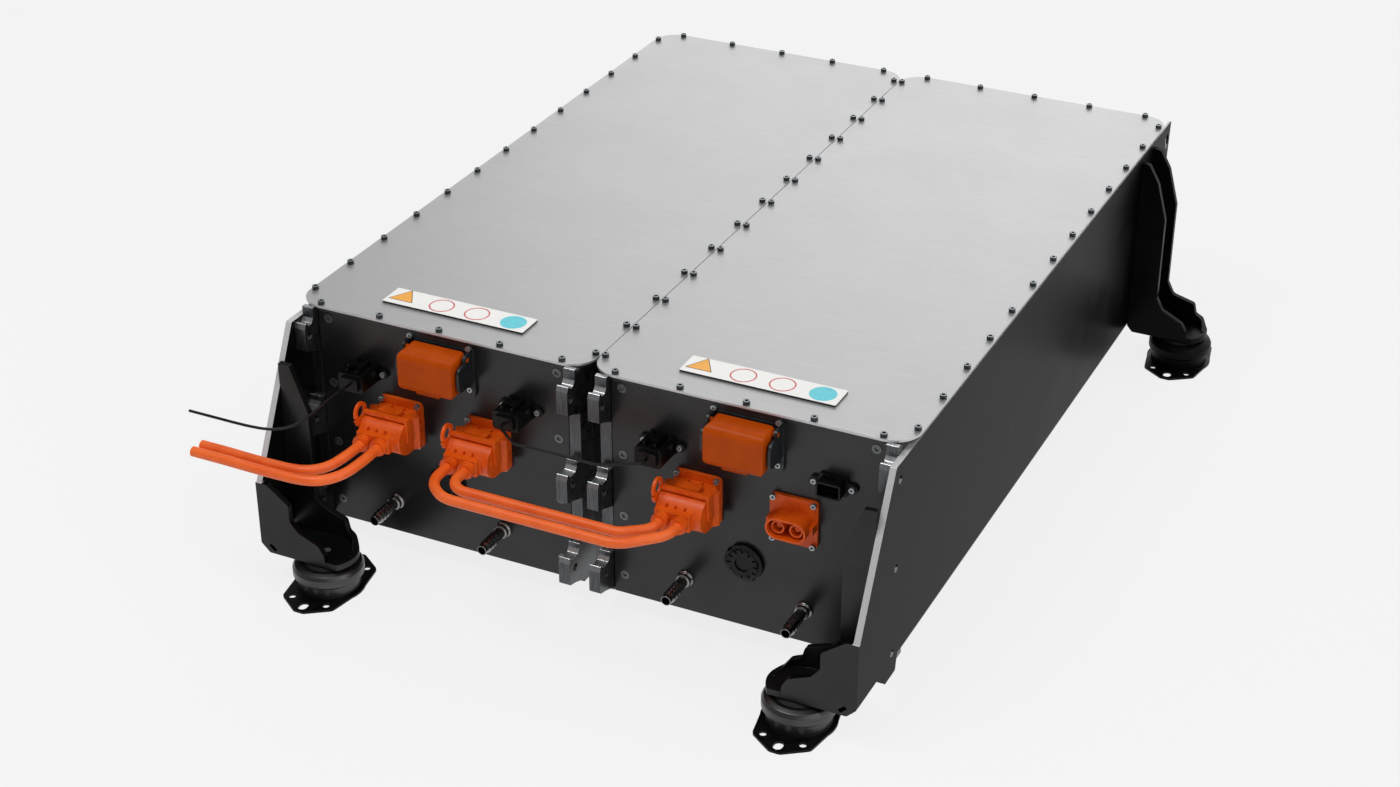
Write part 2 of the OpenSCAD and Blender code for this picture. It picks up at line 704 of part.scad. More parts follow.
function waist_pts() = let(b = hv_t + 0.5, m = plug_half) [[-27.5, b, 0], [-27.5, b + 7.5, 2],
    [-33, b + 9.5, 3], [-plug_wide, b + 12, 3], [-plug_wide, b + 15, 3], [-m, b + 20, 4],
    [-m, lever_d + body_r, 2], [m, lever_d + body_r, 2],
    [m, b + 20, 4], [plug_wide, b + 15, 3], [plug_wide, b + 12, 3], [33, b + 9.5, 3],
    [27.5, b + 7.5, 2], [27.5, b, 0]];
function nose_pts() = [[-plug_half, lever_d, 0], [-plug_half, lever_d + 13, 3],
    [tube_x - tube_pitch / 2 - tube_d / 2 - 1, nose_end - 6, 2],
    [tube_x - tube_pitch / 2 - tube_d / 2 - 1, nose_end, 2],
    [tube_x + tube_pitch / 2 + tube_d / 2 + 1, nose_end, 2],
    [tube_x + tube_pitch / 2 + tube_d / 2 + 1, nose_end - 8, 2],
    [plug_half, lever_d + 12, 3], [plug_half, lever_d, 0]];

// Plan outline (x, reach) raised to a height h centred on the contact line
module plan(h) {
    rotate([90, 0, 0]) mirror([0, 0, 1]) translate([0, 0, -h / 2]) linear_extrude(h) children();
}

module power_plug_body() {
    difference() {
        union() {
            intersection() {
                plan(plug_h) polygon(soft(waist_pts()));
                union() {
                    translate([-50, -body_r, 0]) cube([100, plug_h, lever_d]);
                    translate([-50, 0, lever_d]) rotate([0, 90, 0]) cylinder(r = body_r, h = 100, $fn = 64);
                }
            }
            plan(nose_h) polygon(soft(nose_pts()));
            translate([0, body_r + pad_h / 2 - 1, 0]) plan(pad_h + 2)
                polygon(soft([[-15, 20.5, 2], [-15, lever_d - 1, 3], [15, lever_d - 1, 3], [15, 20.5, 2]]));
            for (i = [-1, 1]) {
                translate([i * 9 - 1.5, body_r, 10]) cube([3, 3.5, lever_d - 12]);
                translate([i > 0 ? plug_half - 1 : -plug_half - arm_t - 0.8, 0, lever_d])
                    rotate([0, 90, 0]) cylinder(d = 8, h = arm_t + 1.8);
                translate([tube_x + i * tube_pitch / 2, 0, nose_end - 4])
                    cylinder(d = tube_d, h = tube_reach - nose_end + 4);
                translate([tube_x + i * tube_pitch / 2, 0, tube_reach - 7])
                    cylinder(d = tube_d + 2, h = 4);
            }
        }
        translate([0, 0, hv_t]) linear_extrude(hv_reach - hv_t + plug_gap + 0.5)
            racetrack(hv_r + plug_gap, hv_pitch);
        translate([-hv_pitch / 2 - hv_r - 4.5, -5.5, hv_t]) cube([hv_pitch + 2 * hv_r + 9, 11, 14]);
        for (i = [-1, 1], j = [0, 1]) translate([tube_x + i * tube_pitch / 2 * j, nose_h / 2 - 2, lever_d + 19])
            rotate([-90, 0, 0]) cylinder(d = 4, h = 5, $fn = 24);
    }
}

// Lever: two arms, a bar across the nose and a finger ring on the left arm
module lever_arm_2d(tall) {
    circle(d = 15);
    polygon([[-7.4, 0], [7.4, 0], [8.5, bar_in + 4.5], [0, bar_in + 4.5]]);
    if (tall) polygon([[0, 12], [20, 12], [24, 20], [4, 24]]);
}

module plug_lever_body() {
    play = pivot_play;
    for (i = [-1, 1]) translate([i > 0 ? plug_half + 0.4 : -plug_half - 0.4 - arm_t, 0, lever_d])
        rotate([0, 90, 0]) mirror([1, 0, 0]) difference() {
            linear_extrude(arm_t) difference() {
                union() {
                    lever_arm_2d(i < 0);
                    if (i < 0) translate([11, 28.5]) circle(r = 12.5);
                    if (i < 0) translate([11, 26.5]) square([25, 6], center = true);
                }
                if (i < 0) translate([11, 28.5]) circle(r = 7.8);
            }
            translate([0, 0, -1]) cylinder(d = 8 + 2 * play, h = arm_t + 2);
        }
    translate([-plug_half - 0.5, bar_in, lever_d + 1.5])
        cube([2 * plug_half + 1, 4.5, 6]);
}

module at_plug(k) {
    if (k == 0) on_panel(-1, hv_x1, hv_drop) children();
    if (k == 1) on_panel(-1, hv_x2, hv_drop) children();
    if (k == 2) on_panel(1, hv_x1, hv_drop) children();
}

module power_plug(k) {
    color(c_orange) at_plug(k) power_plug_body();
}

module plug_lever(k) {
    color(c_cable) at_plug(k) plug_lever_body();
}

// Signal connectors
module signal_socket() {
    difference() {
        union() {
            hull() for (i = [-1, 1]) translate([i * lv_sx, 0, 0]) cylinder(d = 13, h = lv_t, $fn = 32);
            linear_extrude(lv_t) rrect(lv_w + 6, lv_h + 5, 3);
            linear_extrude(lv_reach) rrect(lv_w, lv_h, 3);
            translate([0, 0, -10]) linear_extrude(11) square([lv_w - 5, lv_h - 5], center = true);
        }
        translate([0, 0, lv_t]) linear_extrude(lv_reach) rrect(lv_w - 4, lv_h - 4, 1.5);
        for (i = [-1, 1]) translate([i * lv_sx, 0, -1])
            cylinder(d = con_bolt_d + hole_gap, h = lv_t + 2, $fn = 16);
    }
    for (i = [-3 : 3], j = [-1, 1]) translate([i * 3.2 - 0.6, j * 3 - 0.6, lv_t - eps])
        cube([1.2, 1.2, 9]);
}

module signal_sockets() {
    color(c_black) for (side = [-1, 1], x = [lv_x1, lv_x2]) on_panel(side, x, lv_drop) signal_socket();
}

module signal_plug() {
    g = plug_gap;
    difference() {
        union() {
            translate([0, 0, lv_t + 0.4]) linear_extrude(lv_plug_reach - lv_t - 0.4 - 5)
                rrect(lv_w + 2 * g + 4, lv_h + 2 * g + 3.5, 4);
            translate([0, 0, lv_plug_reach - 12]) linear_extrude(12)
                rrect(lv_w - 4, lv_h - 2, 4);
            for (i = [-1, 1]) translate([i * 7 - 1.5, lv_h / 2 + g, lv_t + 3]) cube([3, 7, 30]);
            translate([-8.5, lv_h / 2 + g + 4, 16]) cube([17, 3, 12]);
        }
        translate([0, 0, lv_t]) linear_extrude(lv_reach - lv_t + g + 0.5) rrect(lv_w + 2 * g, lv_h + 2 * g, 3.5);
    }
}

module signal_plugs() {
    color(c_black) {
        on_panel(-1, lv_x1, lv_drop) signal_plug();
        on_panel(-1, lv_x2, lv_drop) signal_plug();
        on_panel(1, lv_x1, lv_drop) signal_plug();
    }
}

module connector_screws() {
    color(c_light) for (side = [-1, 1]) {
        for (x = [hv_x1, hv_x2], i = [-1, 1], j = [-1, 1])
            on_panel(side, x, hv_drop) translate([i * hv_sx, j * hv_sy, hv_t])
                socket_screw(con_head_d, con_head_h, con_bolt_d, con_bolt_l);
        for (x = [lv_x1, lv_x2], i = [-1, 1]) on_panel(side, x, lv_drop) translate([i * lv_sx, 0, lv_t])
            socket_screw(con_head_d, con_head_h - 1, con_bolt_d, con_bolt_l);
        for (i = [-1, 1], j = [-1, 1]) on_panel(side, msd_x, msd_drop)
            translate([i * msd_sx, j * msd_sy, msd_t])
                socket_screw(con_head_d, con_head_h, con_bolt_d, con_bolt_l);
    }
}

// Pressure vent: knurled cap over a spigot through the panel
module vents() {
    color(c_black) for (side = [-1, 1]) on_panel(side, 0, vent_drop) difference() {
        union() {
            rotate_extrude() polygon(soft([[0, 0, 0], [vent_d / 2, 0, 0], [vent_d / 2, vent_h - 3, 1],
                [vent_d / 2 - 4, vent_h - 2, 1], [vent_d / 2 - 6, vent_h, 1.5], [0, vent_h, 0]]));
            translate([0, 0, -12]) cylinder(d = vent_d - 20 - hole_gap, h = 13);
        }
        for (a = [135, 315]) rotate(a) translate([vent_d / 2 - 2.5, -5, -1]) cube([6, 10, vent_h + 2]);
        for (a = [0 : 30 : 330]) rotate(a) translate([vent_d / 2 - 10, -1.2, vent_h - 2])
            cube([7, 2.4, 4]);
        translate([0, 0, vent_h - 2]) cylinder(d = 20, h = 4);
    }
}

// Coolant port: round collar, hose barb and a spigot into the riser behind the panel
function barb_pts() = let(r = port_d / 2, b = port_bore / 2, e = port_reach)
    concat([[b, -panel_t - 12, 0], [r - 1, -panel_t - 12, 0], [r - 1, -panel_t, 0], [r + 1, -panel_t, 0],
        [r + 1, 0, 0], [r + 3, 0, 0], [r + 3, 2.5, 1], [r + 1, 4.5, 1], [r + 1, 9, 0.5], [r - 1, 10, 0]],
        [for (k = [0 : 3], q = [e - 33 + k * 7]) each [[r - 1, q, 0], [r, q + 0.5, 0], [r, q + 2, 0]]],
        [[r - 1.5, e - 4, 0], [r - 1.5, e, 0.5], [b, e, 0]]);

module coolant_ports() {
    color(c_light) for (side = [-1, 1], i = [-1, 1]) on_panel(side, i * port_x, port_drop)
        rotate_extrude() polygon(soft(barb_pts()));
}

module label_plates() {
    color("white") for (side = [-1, 1])
        translate([side * mod_c - 4.5, lid_yc - lid_l / 2 + label_in + label_w / 2, z_lid])
            linear_extrude(label_t) rrect(label_l, label_w, 2);
}

// Side frame, drawn for the right side. Bracket leg in the X-Z plane, a = distance
// from the plate outer face, h = height above the bracket underside
function leg_pts(a0, top, shoulder, neck, m, low) = [[a0, top, 0], [a0 + 15.5, top, 4],
    [neck, shoulder, 6], [neck, 54, 8], [neck + 11, 41, 8], [m + 5, 29, 5], [m + 12.5, 17, 4],
    [m + 14, 0, 0], [a0 + low, 0, 4], [a0, low, 4]];
// End of a flange that is bent round its mount with the outer radius r
function bend_pts(m, r) = [[m + 8, 35, 5], [m + 12, bend_h + 2, 4], [m + 24, bend_h, 4],
    [m + 31, br_t + 1, 3], [m + r + 1, br_t - 1, 0], [m + r + 1, 0, 0]];
front_m = plate_t + front_in;
front_r = br_gap - front_lead + br_t;
rear_r = br_gap - rear_lead + br_t;

module front_leg() {
    mirror([1, 0]) translate([-plate_out, z_br])
        polygon(soft(leg_pts(0, 100, 77, neck_front, front_m, 12)));
}

// Plans of the bend and of the round base, seen from the mount, the plate toward +X
module bend_plan(r, run) {
    difference() {
        union() {
            circle(r = r, $fn = 96);
            translate([0, r - br_t]) square([run, br_t]);
        }
        circle(r = r - br_t, $fn = 96);
        translate([-r - 1, -r - 1]) square([2 * r + 2, r + 1]);
        translate([0, -1]) square([r + 1, r - br_t + 1]);
    }
}

module base_plan(r, run, lead) {
    difference() {
        union() {
            circle(r = r, $fn = 96);
            translate([0, -lead]) square([run, lead + r - br_t + eps]);
        }
        translate([-r - 1, -r - 1]) square([2 * r + 2, r + 1 - lead]);
        circle(d = stud_d + hole_gap);
    }
}

front_y = front_my - front_lead;
rear_y = rear_my - rear_lead;
front_plate_y = y_face - 35.5;

module web_outline() {
    b = z_web;
    tab = y_face - 5;
    polygon(soft([[front_plate_y, z_top, 3], [front_y + 3, z_br + 100, 0], [front_y, z_br + 99, 0],
        [front_y, b + 6, 0], [front_y + 6, b, 0], [tab - 63.5, b, 0], [tab - 57.5, b - 5.5, 0],
        [tab - 44.5, b - 8.5, 0], [tab - 35.5, b - 22.5, 0], [tab - 4, b - 22.5, 3], [tab, b, 0],
        [y_rear + plate_over - 24, b, 10], [y_rear + plate_over, z_top, 3]]));
}

module side_plate_body() {
    slot_z = z_lid - lug_drop - lug_hole_drop;
    difference() {
        union() {
            along_x(plate_in, plate_t) web_outline();
            along_y(front_y, br_t) difference() {
                front_leg();
                translate([plate_out - 20, z_br + 3]) rotate(40) square([11, 5]);
            }
        }
        for (k = [0 : 2]) translate([plate_in - 1, y_face - lug_hole_in, slot_z - k * lug_pitch])
            rotate([0, 90, 0]) cylinder(d = lug_hole_d, h = plate_t + 2);
        for (j = [-1, 1]) translate([plate_in - 1, y_rear + lug_hole_in, slot_z - 5 + j * 4])
            rotate([0, 90, 0]) cylinder(d = 14, h = plate_t + 2);
        translate([plate_in - 1, y_rear + lug_hole_in - 7, slot_z - 9]) cube([plate_t + 2, 14, 8]);
        translate([plate_in - 1, y_rear + 4, z_web - 1]) cube([plate_t - 3 + 1, plate_over + 1, plate_h + 2]);
    }
}

module side_plate(side) {
    color(c_case) sides(side) side_plate_body();
}

// Second flange of the front bracket: it leaves the plate, bends round the mount and
// runs out on the round base plate
module front_gusset_body() {
    leg = concat([[plate_t, z_top - 40 - z_br, 0], [plate_t + 15.5, z_top - 40 - z_br, 4],
        [neck_front, 180, 6], [neck_front, 59, 8], [neck_front + 11, 46, 8]],
        bend_pts(front_m, front_r), [[plate_t + 4, 0, 4], [plate_t, 4, 4]]);
    intersection() {
        along_y(front_my - 1, front_r + 2) mirror([1, 0]) translate([-plate_out, z_br]) polygon(soft(leg));
        translate([front_mx, front_my, z_br - 1]) linear_extrude(plate_h + plate_rise)
            bend_plan(front_r, plate_in - front_mx);
    }
    translate([front_mx, front_my, z_br]) linear_extrude(br_t) difference() {
        base_plan(front_r, plate_in - front_mx, front_lead);
        translate([-14, -front_lead - 1]) square([plate_in - front_mx + 15, br_t + 1]);
    }
}

module front_gusset(side) {
    color(c_case) sides(side) front_gusset_body();
}

// Rear bracket: two flanges welded to the outside of the plate, the second one bent
// round the mount like the front one
function rear_leg() = let(h = plate_h + plate_rise) [[0, h - 12, 0], [10, h - 14, 5], [25, h - 40, 6],
    [neck_rear, 187, 6], [neck_rear, 62, 8], [neck_rear + 9.5, 44, 8]];

module rear_bracket_body() {
    foot = [[8, 0, 5], [0, 9, 3]];
    along_y(rear_y, br_t) translate([plate_out, z_br]) polygon(soft(concat(rear_leg(),
        [[rear_out + 5, 29, 5], [rear_out + 12.5, 17, 4], [rear_out + 13, 0, 0]], foot)));
    intersection() {
        along_y(rear_my - 1, rear_r + 2) translate([plate_out, z_br])
            polygon(soft(concat(rear_leg(), bend_pts(rear_out, rear_r), foot)));
        translate([rear_mx, rear_my, z_br - 1]) mirror([1, 0, 0]) linear_extrude(plate_h + plate_rise)
            bend_plan(rear_r, rear_out);
    }
    translate([rear_mx, rear_my, z_br]) mirror([1, 0, 0]) linear_extrude(br_t)
        base_plan(rear_r, rear_out - 8, rear_lead);
}

module rear_bracket(side) {
    color(c_case) sides(side) rear_bracket_body();
}

// Rubber mounts
module at_mount(k) {
    x = k < 2 ? front_mx : rear_mx;
    y = k < 2 ? front_my : rear_my;
    translate([k % 2 == 0 ? -x : x, y, 0]) children();
}

module mount_foot(k) {
    color(c_black) at_mount(k) difference() {
        linear_extrude(foot_t) {
            polygon(soft([[-7, -foot_l / 2, 6], [7, -foot_l / 2, 6],
                [foot_sx / 2 + 12, -foot_sy / 2 - 4, 9], [foot_w / 2, 0, 40],
                [foot_sx / 2 + 12, foot_sy / 2 + 4, 9], [7, foot_l / 2, 6], [-7, foot_l / 2, 6],
                [-foot_sx / 2 - 12, foot_sy / 2 + 4, 9], [-foot_w / 2, 0, 40],
                [-foot_sx / 2 - 12, -foot_sy / 2 - 4, 9]]));
            circle(d = foot_w, $fn = 96);
        }
        for (i = [-1, 1], j = [-1, 1]) translate([i * foot_sx / 2, j * foot_sy / 2, -1])
            cylinder(d = foot_hole_d, h = foot_t + 2);
        for (j = [-1, 1]) {
            for (q = [-2, 2]) translate([0, j * (foot_l / 2 - 12) + q, -1]) cylinder(d = 11.5, h = foot_t + 2);
            translate([-5.75, j * (foot_l / 2 - 12) - 2, -1]) cube([11.5, 4, foot_t + 2]);
        }
        translate([0, 0, -1]) cylinder(d = 30, h = foot_t + 2);
    }
}

module mount_bell(k) {
    r = bell_d / 2;
    s = ring_d / 2;
    h = mount_h;
    color("#55585a") at_mount(k) rotate_extrude($fn = 96) polygon(soft([[r - 4, foot_t, 0], [r, foot_t, 0],
        [r, h - 25, 2], [s, h - 22, 2], [s, h - 12, 2], [s - 3, h - 7, 3], [s - 9, h - 4.5, 3],
        [s - 14, h - 5, 1], [s - 14, h - 8, 0], [r - 4, h - 12, 2]]));
}

module mount_rubbers() {
    r = bell_d / 2;
    s = ring_d / 2;
    h = mount_h;
    color(c_black) for (k = [0 : 3]) at_mount(k) rotate_extrude($fn = 64) polygon([[stud_d / 2 + 0.3, foot_t + 6],
        [r - 4.3, foot_t + 6], [r - 4.3, h - 13], [s - 14.4, h - 9], [s - 14.4, h - 5],
        [s - 19, h - 2.3], [stud_d / 2 + 0.3, h - 2.3]]);
}

// Each stud screws into the bracket base and ends just below its upper face
module mount_studs() {
    color(c_steel) for (k = [0 : 3]) at_mount(k) {
        translate([0, 0, foot_t + 10]) cylinder(d = stud_d, h = mount_h + br_t - 0.5 - foot_t - 10);
        translate([0, 0, mount_h - 2]) cylinder(d = stud_d + 30, h = 2);
    }
}

// Open route in a level plane with a round bend at each inner point
function route(pts, r) = let(n = len(pts)) concat([pts[0]],
    [for (i = [1 : n - 2]) each arc_corner(pts[i - 1], pts[i], pts[i + 1], r)], [pts[n - 1]]);

z_hv = z_lid - hv_drop;
z_lv = z_lid - lv_drop;
y_tube = y_face - tube_reach;
jl = -mod_c + hv_x2 + tube_x;
jr = mod_c + hv_x1 + tube_x;
half_tube = tube_pitch / 2;
y_run_out = y_tube - 62;
y_run_in = y_tube - 39;

module power_jumper(k) {
    o = k == 1 ? -half_tube : half_tube;
    yr = k == 1 ? y_run_out : y_run_in;
    x0 = jl + o;
    x1 = jr - o;
    c0 = k == 1 ? [30, 26] : [16, 14];
    c1 = k == 1 ? [46, 44] : [33, 24];
    color(c_cable) swept(route([[x0, y_tube], [x0, yr + c0[1]], [x0 + c0[0], yr], [x1 - c1[0], yr],
        [x1, yr + c1[1]], [x1, y_tube]], k == 1 ? hv_bend : hv_bend - 6), z_hv, hv_cable_d, 12);
}

module signal_jumper() {
    x0 = -mod_c + lv_x2;
    x1 = mod_c + lv_x1;
    y0 = y_face - lv_plug_reach;
    yr = y0 - 34.5;
    color(c_black) swept(route([[x0, y0], [x0, y0 - 8], [x0 + 34, yr], [x1 - 45, yr],
        [x1, y0 - 10], [x1, y0]], lv_bend), z_lv, lv_cable_d, 8);
}

// Free leads with bare cut ends: round points chosen by hand, swept by functions
lead_1 = [[-256, -518], [-256, -530], [-256, -546], [-257, -562], [-259, -578], [-264, -592], [-272, -604],
    [-284, -613], [-300, -618], [-330, -620], [-370, -620], [-412, -619], [-455, -619]];
lead_2 = [[-280, -518], [-280, -530], [-281, -546], [-283, -562], [-287, -577], [-295, -589],
    [-306, -597], [-320, -601], [-345, -603], [-380, -603], [-416, -602], [-454, -602]];
lead_s = [[-311, -488], [-312, -500], [-313, -516], [-313, -534], [-312, -552], [-312, -570],
    [-314, -588], [-318, -603], [-327, -614], [-340, -620], [-358, -623], [-380, -624],
    [-405, -624], [-449, -624]];

function dir_at(p, i) = unit(p[min(i + 1, len(p) - 1)] - p[max(i - 1, 0)]);
function dir_end(p, i) = i == 0 ? [0, -1] : dir_at(p, i);
function ring_at(p, i, z, d, n) = let(t = dir_end(p, i), s = [-t[1], t[0]])
    [for (k = [0 : n - 1]) let(g = 360 * k / n)
        [p[i][0] + s[0] * cos(g) * d / 2, p[i][1] + s[1] * cos(g) * d / 2, z + sin(g) * d / 2]];

module swept(p, z, d, n) {
    m = len(p);
    polyhedron(
        points = [for (i = [0 : m - 1]) each ring_at(p, i, z, d, n)],
        faces = concat([[for (k = [n - 1 : -1 : 0]) k]],
            [for (i = [0 : m - 2], k = [0 : n - 1]) each [
                [i * n + k, i * n + (k + 1) % n, (i + 1) * n + (k + 1) % n],
                [i * n + k, (i + 1) * n + (k + 1) % n, (i + 1) * n + k]]],
            [[for (k = [0 : n - 1]) (m - 1) * n + k]]));
}

module power_lead(k) {
    color(c_cable) swept(k == 1 ? lead_1 : lead_2, z_hv, hv_cable_d, 10);
}

module signal_lead() {
    color(c_black) swept(lead_s, z_lv, lv_cable_d, 8);
}

housing(-1);  // housing_left
housing(1);  // housing_right
lid(-1);  // lid_left
lid(1);  // lid_right
lid_gaskets();
front_panel(-1);  // front_panel_left
front_panel(1);  // front_panel_right
rear_panels();
corner_posts(-1);  // corner_posts_left
corner_posts(1);  // corner_posts_right
cell_modules(-1);  // cell_modules_left
cell_modules(1);  // cell_modules_right
cooling_plates();
junction_boxes();
busbars();
management_boards();
lid_screws();
panel_screws();
connector_screws();
disconnect_base(-1);  // disconnect_base_left
disconnect_base(1);  // disconnect_base_right
disconnect_cover(-1);  // disconnect_cover_left
disconnect_cover(1);  // disconnect_cover_right
service_links();
power_headers(-1);  // power_headers_left
power_headers(1);  // power_headers_right
power_plug(0);  // power_plug_lead
power_plug(1);  // power_plug_left
power_plug(2);  // power_plug_right
plug_lever(0);  // plug_lever_lead
plug_lever(1);  // plug_lever_left
plug_lever(2);  // plug_lever_right
signal_sockets();
signal_plugs();
vents();
coolant_ports();
label_plates();
side_plate(-1);  // side_plate_left
side_plate(1);  // side_plate_right
front_gusset(-1);  // front_gusset_left
front_gusset(1);  // front_gusset_right
rear_bracket(-1);  // rear_bracket_left
rear_bracket(1);  // rear_bracket_right
mount_foot(0);  // mount_foot_fl
mount_foot(1);  // mount_foot_fr
mount_foot(2);  // mount_foot_rl
mount_foot(3);  // mount_foot_rr
mount_bell(0);  // mount_bell_fl
mount_bell(1);  // mount_bell_fr
mount_bell(2);  // mount_bell_rl
mount_bell(3);  // mount_bell_rr
mount_rubbers();
mount_studs();
power_lead(1);  // power_lead_1
power_lead(2);  // power_lead_2
signal_lead();
power_jumper(1);  // power_jumper_1
power_jumper(2);  // power_jumper_2
signal_jumper();
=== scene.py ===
# %% [markdown]
# # A marine battery pack
#
# Two long battery modules lie side by side in a pair of dark side frames, on four
# rubber mounts. The machine parts arrive as a finished CAD frame, so this lesson is
# about what turns them into a picture: the camera, the cables, rounded edges on the
# mouldings, printed fields on the label plates, and a finish for every surface.

# %% The CAD frame
import math

import bmesh
import bpy
from mathutils import Matrix, Vector
from mathutils.geometry import interpolate_bezier


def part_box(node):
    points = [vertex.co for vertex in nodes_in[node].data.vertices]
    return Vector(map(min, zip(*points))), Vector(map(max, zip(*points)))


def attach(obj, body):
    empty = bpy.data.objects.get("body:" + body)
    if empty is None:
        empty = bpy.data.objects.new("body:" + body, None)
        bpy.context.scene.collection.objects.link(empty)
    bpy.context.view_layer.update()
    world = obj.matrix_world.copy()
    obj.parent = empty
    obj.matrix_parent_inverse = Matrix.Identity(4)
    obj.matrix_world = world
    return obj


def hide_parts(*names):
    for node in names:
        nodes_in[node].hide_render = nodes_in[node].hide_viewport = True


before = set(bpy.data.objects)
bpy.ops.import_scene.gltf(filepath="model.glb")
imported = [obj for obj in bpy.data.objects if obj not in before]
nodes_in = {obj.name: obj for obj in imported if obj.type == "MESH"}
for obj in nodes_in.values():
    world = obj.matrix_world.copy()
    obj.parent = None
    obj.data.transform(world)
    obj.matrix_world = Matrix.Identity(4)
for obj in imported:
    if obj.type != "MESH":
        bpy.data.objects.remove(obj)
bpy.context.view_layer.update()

mm = 0.001

# %% [markdown]
# ## Camera
#
# The view looks down on the front from the right. Three perpendicular directions
# (right, up and back) make the camera's own axes, and they go into the columns of its
# matrix. One lens length then sets how much of the pack fills the frame.

# %% Camera
right = Vector((0.901493, 0.432793, 0.001130))
down = Vector((0.212711, -0.440792, -0.872042))
ahead = Vector((-0.376915, 0.786380, -0.489430))
place = Vector((1.180554, -2.601897, 1.681962))

lens_data = bpy.data.cameras.new("pack camera")
lens_data.sensor_width = 36.0
lens_data.lens = 61.20
lens_data.clip_end = 60.0
camera = bpy.data.objects.new("pack camera", lens_data)
camera.matrix_world = Matrix((right, -down, -ahead)).transposed().to_4x4()
camera.location = place
bpy.context.scene.collection.objects.link(camera)
bpy.context.scene.camera = camera
bpy.context.scene.view_settings.view_transform = "Standard"
print("camera at", [round(v, 3) for v in place])

# %% [markdown]
# ## Cables
#
# Two orange power leads and a thin black signal lead leave the left module, and three
# jumper cables join the modules. A cable is a round section along a smooth line, which
# is what a Bezier curve with a bevel depth makes. The points follow the CAD cables to
# within a millimetre, so each tube takes the place of the solid that it stands for.

# %% A curve along level points
def curve_along(name, points_mm, height_mm, diameter_mm):
    data = bpy.data.curves.new(name, "CURVE")
    data.dimensions = "3D"
    data.bevel_depth = diameter_mm * mm / 2
    data.bevel_resolution = 7
    data.use_fill_caps = True
    data.resolution_u = 8
    spline = data.splines.new("BEZIER")
    spline.bezier_points.add(len(points_mm) - 1)
    for point, (x, y) in zip(spline.bezier_points, points_mm):
        point.co = (x * mm, y * mm, height_mm * mm)
        point.handle_left_type = point.handle_right_type = "AUTO"
    return bpy.data.objects.new(name, data)


# %% [markdown]
# The curve then becomes a mesh, because a curve's box counts more room than the tube
# takes. A walk along the same Bezier gives the points that the tube follows.

# %% From a curve to a tube
def walk_along(curve):
    stops = curve.data.splines[0].bezier_points
    walk = [stops[0].co.copy()]
    for last, following in zip(stops, stops[1:]):
        walk += interpolate_bezier(last.co, last.handle_right, following.handle_left, following.co, 9)[1:]
    return walk


def length_of(walk):
    return sum((far - near).length for near, far in zip(walk, walk[1:]))


def tube_from(curve, node):
    tube = bpy.data.objects.new(node + "_cable", bpy.data.meshes.new_from_object(curve))
    bpy.data.objects.remove(curve)
    tube.data.shade_smooth()
    for edge in tube.data.edges:
        edge.use_edge_sharp = False
    bpy.context.scene.collection.objects.link(tube)
    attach(tube, "pack")
    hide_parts(node)
    return tube


# %% Power leads and signal lead
power_z, signal_z = 200.0, 261.0
power_d, signal_d = 13.0, 3.5
lead_1_points = [(-256, -518), (-256, -530), (-256, -546), (-257, -562), (-259, -578), (-264, -592),
                 (-272, -604), (-284, -613), (-300, -617.6), (-330, -619.4), (-370, -619.8),
                 (-412, -619), (-455, -619)]
lead_2_points = [(-280, -518), (-280, -530), (-281, -546), (-283, -562), (-287, -577), (-295, -589),
                 (-306, -597), (-320, -601), (-345, -603), (-380, -603), (-416, -602), (-454, -602)]
signal_points = [(-311, -488), (-312, -500), (-313, -516), (-313, -534), (-312, -552), (-312, -570),
                 (-314, -588), (-318, -603), (-327, -614), (-340, -620), (-358, -623), (-380, -624),
                 (-405, -624), (-449, -624)]

leads = []
for node, points, height, diameter in (
    ("power_lead_1", lead_1_points, power_z, power_d),
    ("power_lead_2", lead_2_points, power_z, power_d),
    ("signal_lead", signal_points, signal_z, signal_d),
):
    curve = curve_along(node + "_line", points, height, diameter)
    walk = walk_along(curve)
    lead = tube_from(curve, node)
    leads.append(lead)
    print(node, "is", round(length_of(walk) * 1000), "mm long")

# %% [markdown]
# The jumpers are held at both ends, so they have straight runs with a round bend at
# each corner. A Bezier arc needs a handle of 4/3 tan(turn/4) radii along each tangent,
# which gives a true round bend from two points. The bends are a little wider than the
# CAD's, so that two near corners read as the one sweep that a stiff cable makes.

# %% A cable with round bends between straight runs
def bent_curve(name, corners_mm, bend_mm, height_mm, diameter_mm):
    corners = [Vector(corner) for corner in corners_mm]
    stops = [(corners[0], None, None)]
    for before, corner, after in zip(corners, corners[1:], corners[2:]):
        back, on = (before - corner).normalized(), (after - corner).normalized()
        opening = back.angle(on)
        reach = bend_mm / math.tan(opening / 2)
        grip = 4 / 3 * math.tan((math.pi - opening) / 4) * bend_mm
        stops.append((corner + back * reach, None, -back * grip))
        stops.append((corner + on * reach, -on * grip, None))
    stops.append((corners[-1], None, None))

    curve = curve_along(name, [tuple(stop[0]) for stop in stops], height_mm, diameter_mm)
    points = curve.data.splines[0].bezier_points
    for index, (place_mm, toward_last, toward_next) in enumerate(stops):
        last = stops[max(index - 1, 0)][0]
        following = stops[min(index + 1, len(stops) - 1)][0]
        left = toward_last if toward_last is not None else (last - place_mm) / 3
        onward = toward_next if toward_next is not None else (following - place_mm) / 3
        point = points[index]
        point.handle_left_type = point.handle_right_type = "FREE"
        point.handle_left = ((place_mm + left).x * mm, (place_mm + left).y * mm, height_mm * mm)
        point.handle_right = ((place_mm + onward).x * mm, (place_mm + onward).y * mm, height_mm * mm)
    return curve


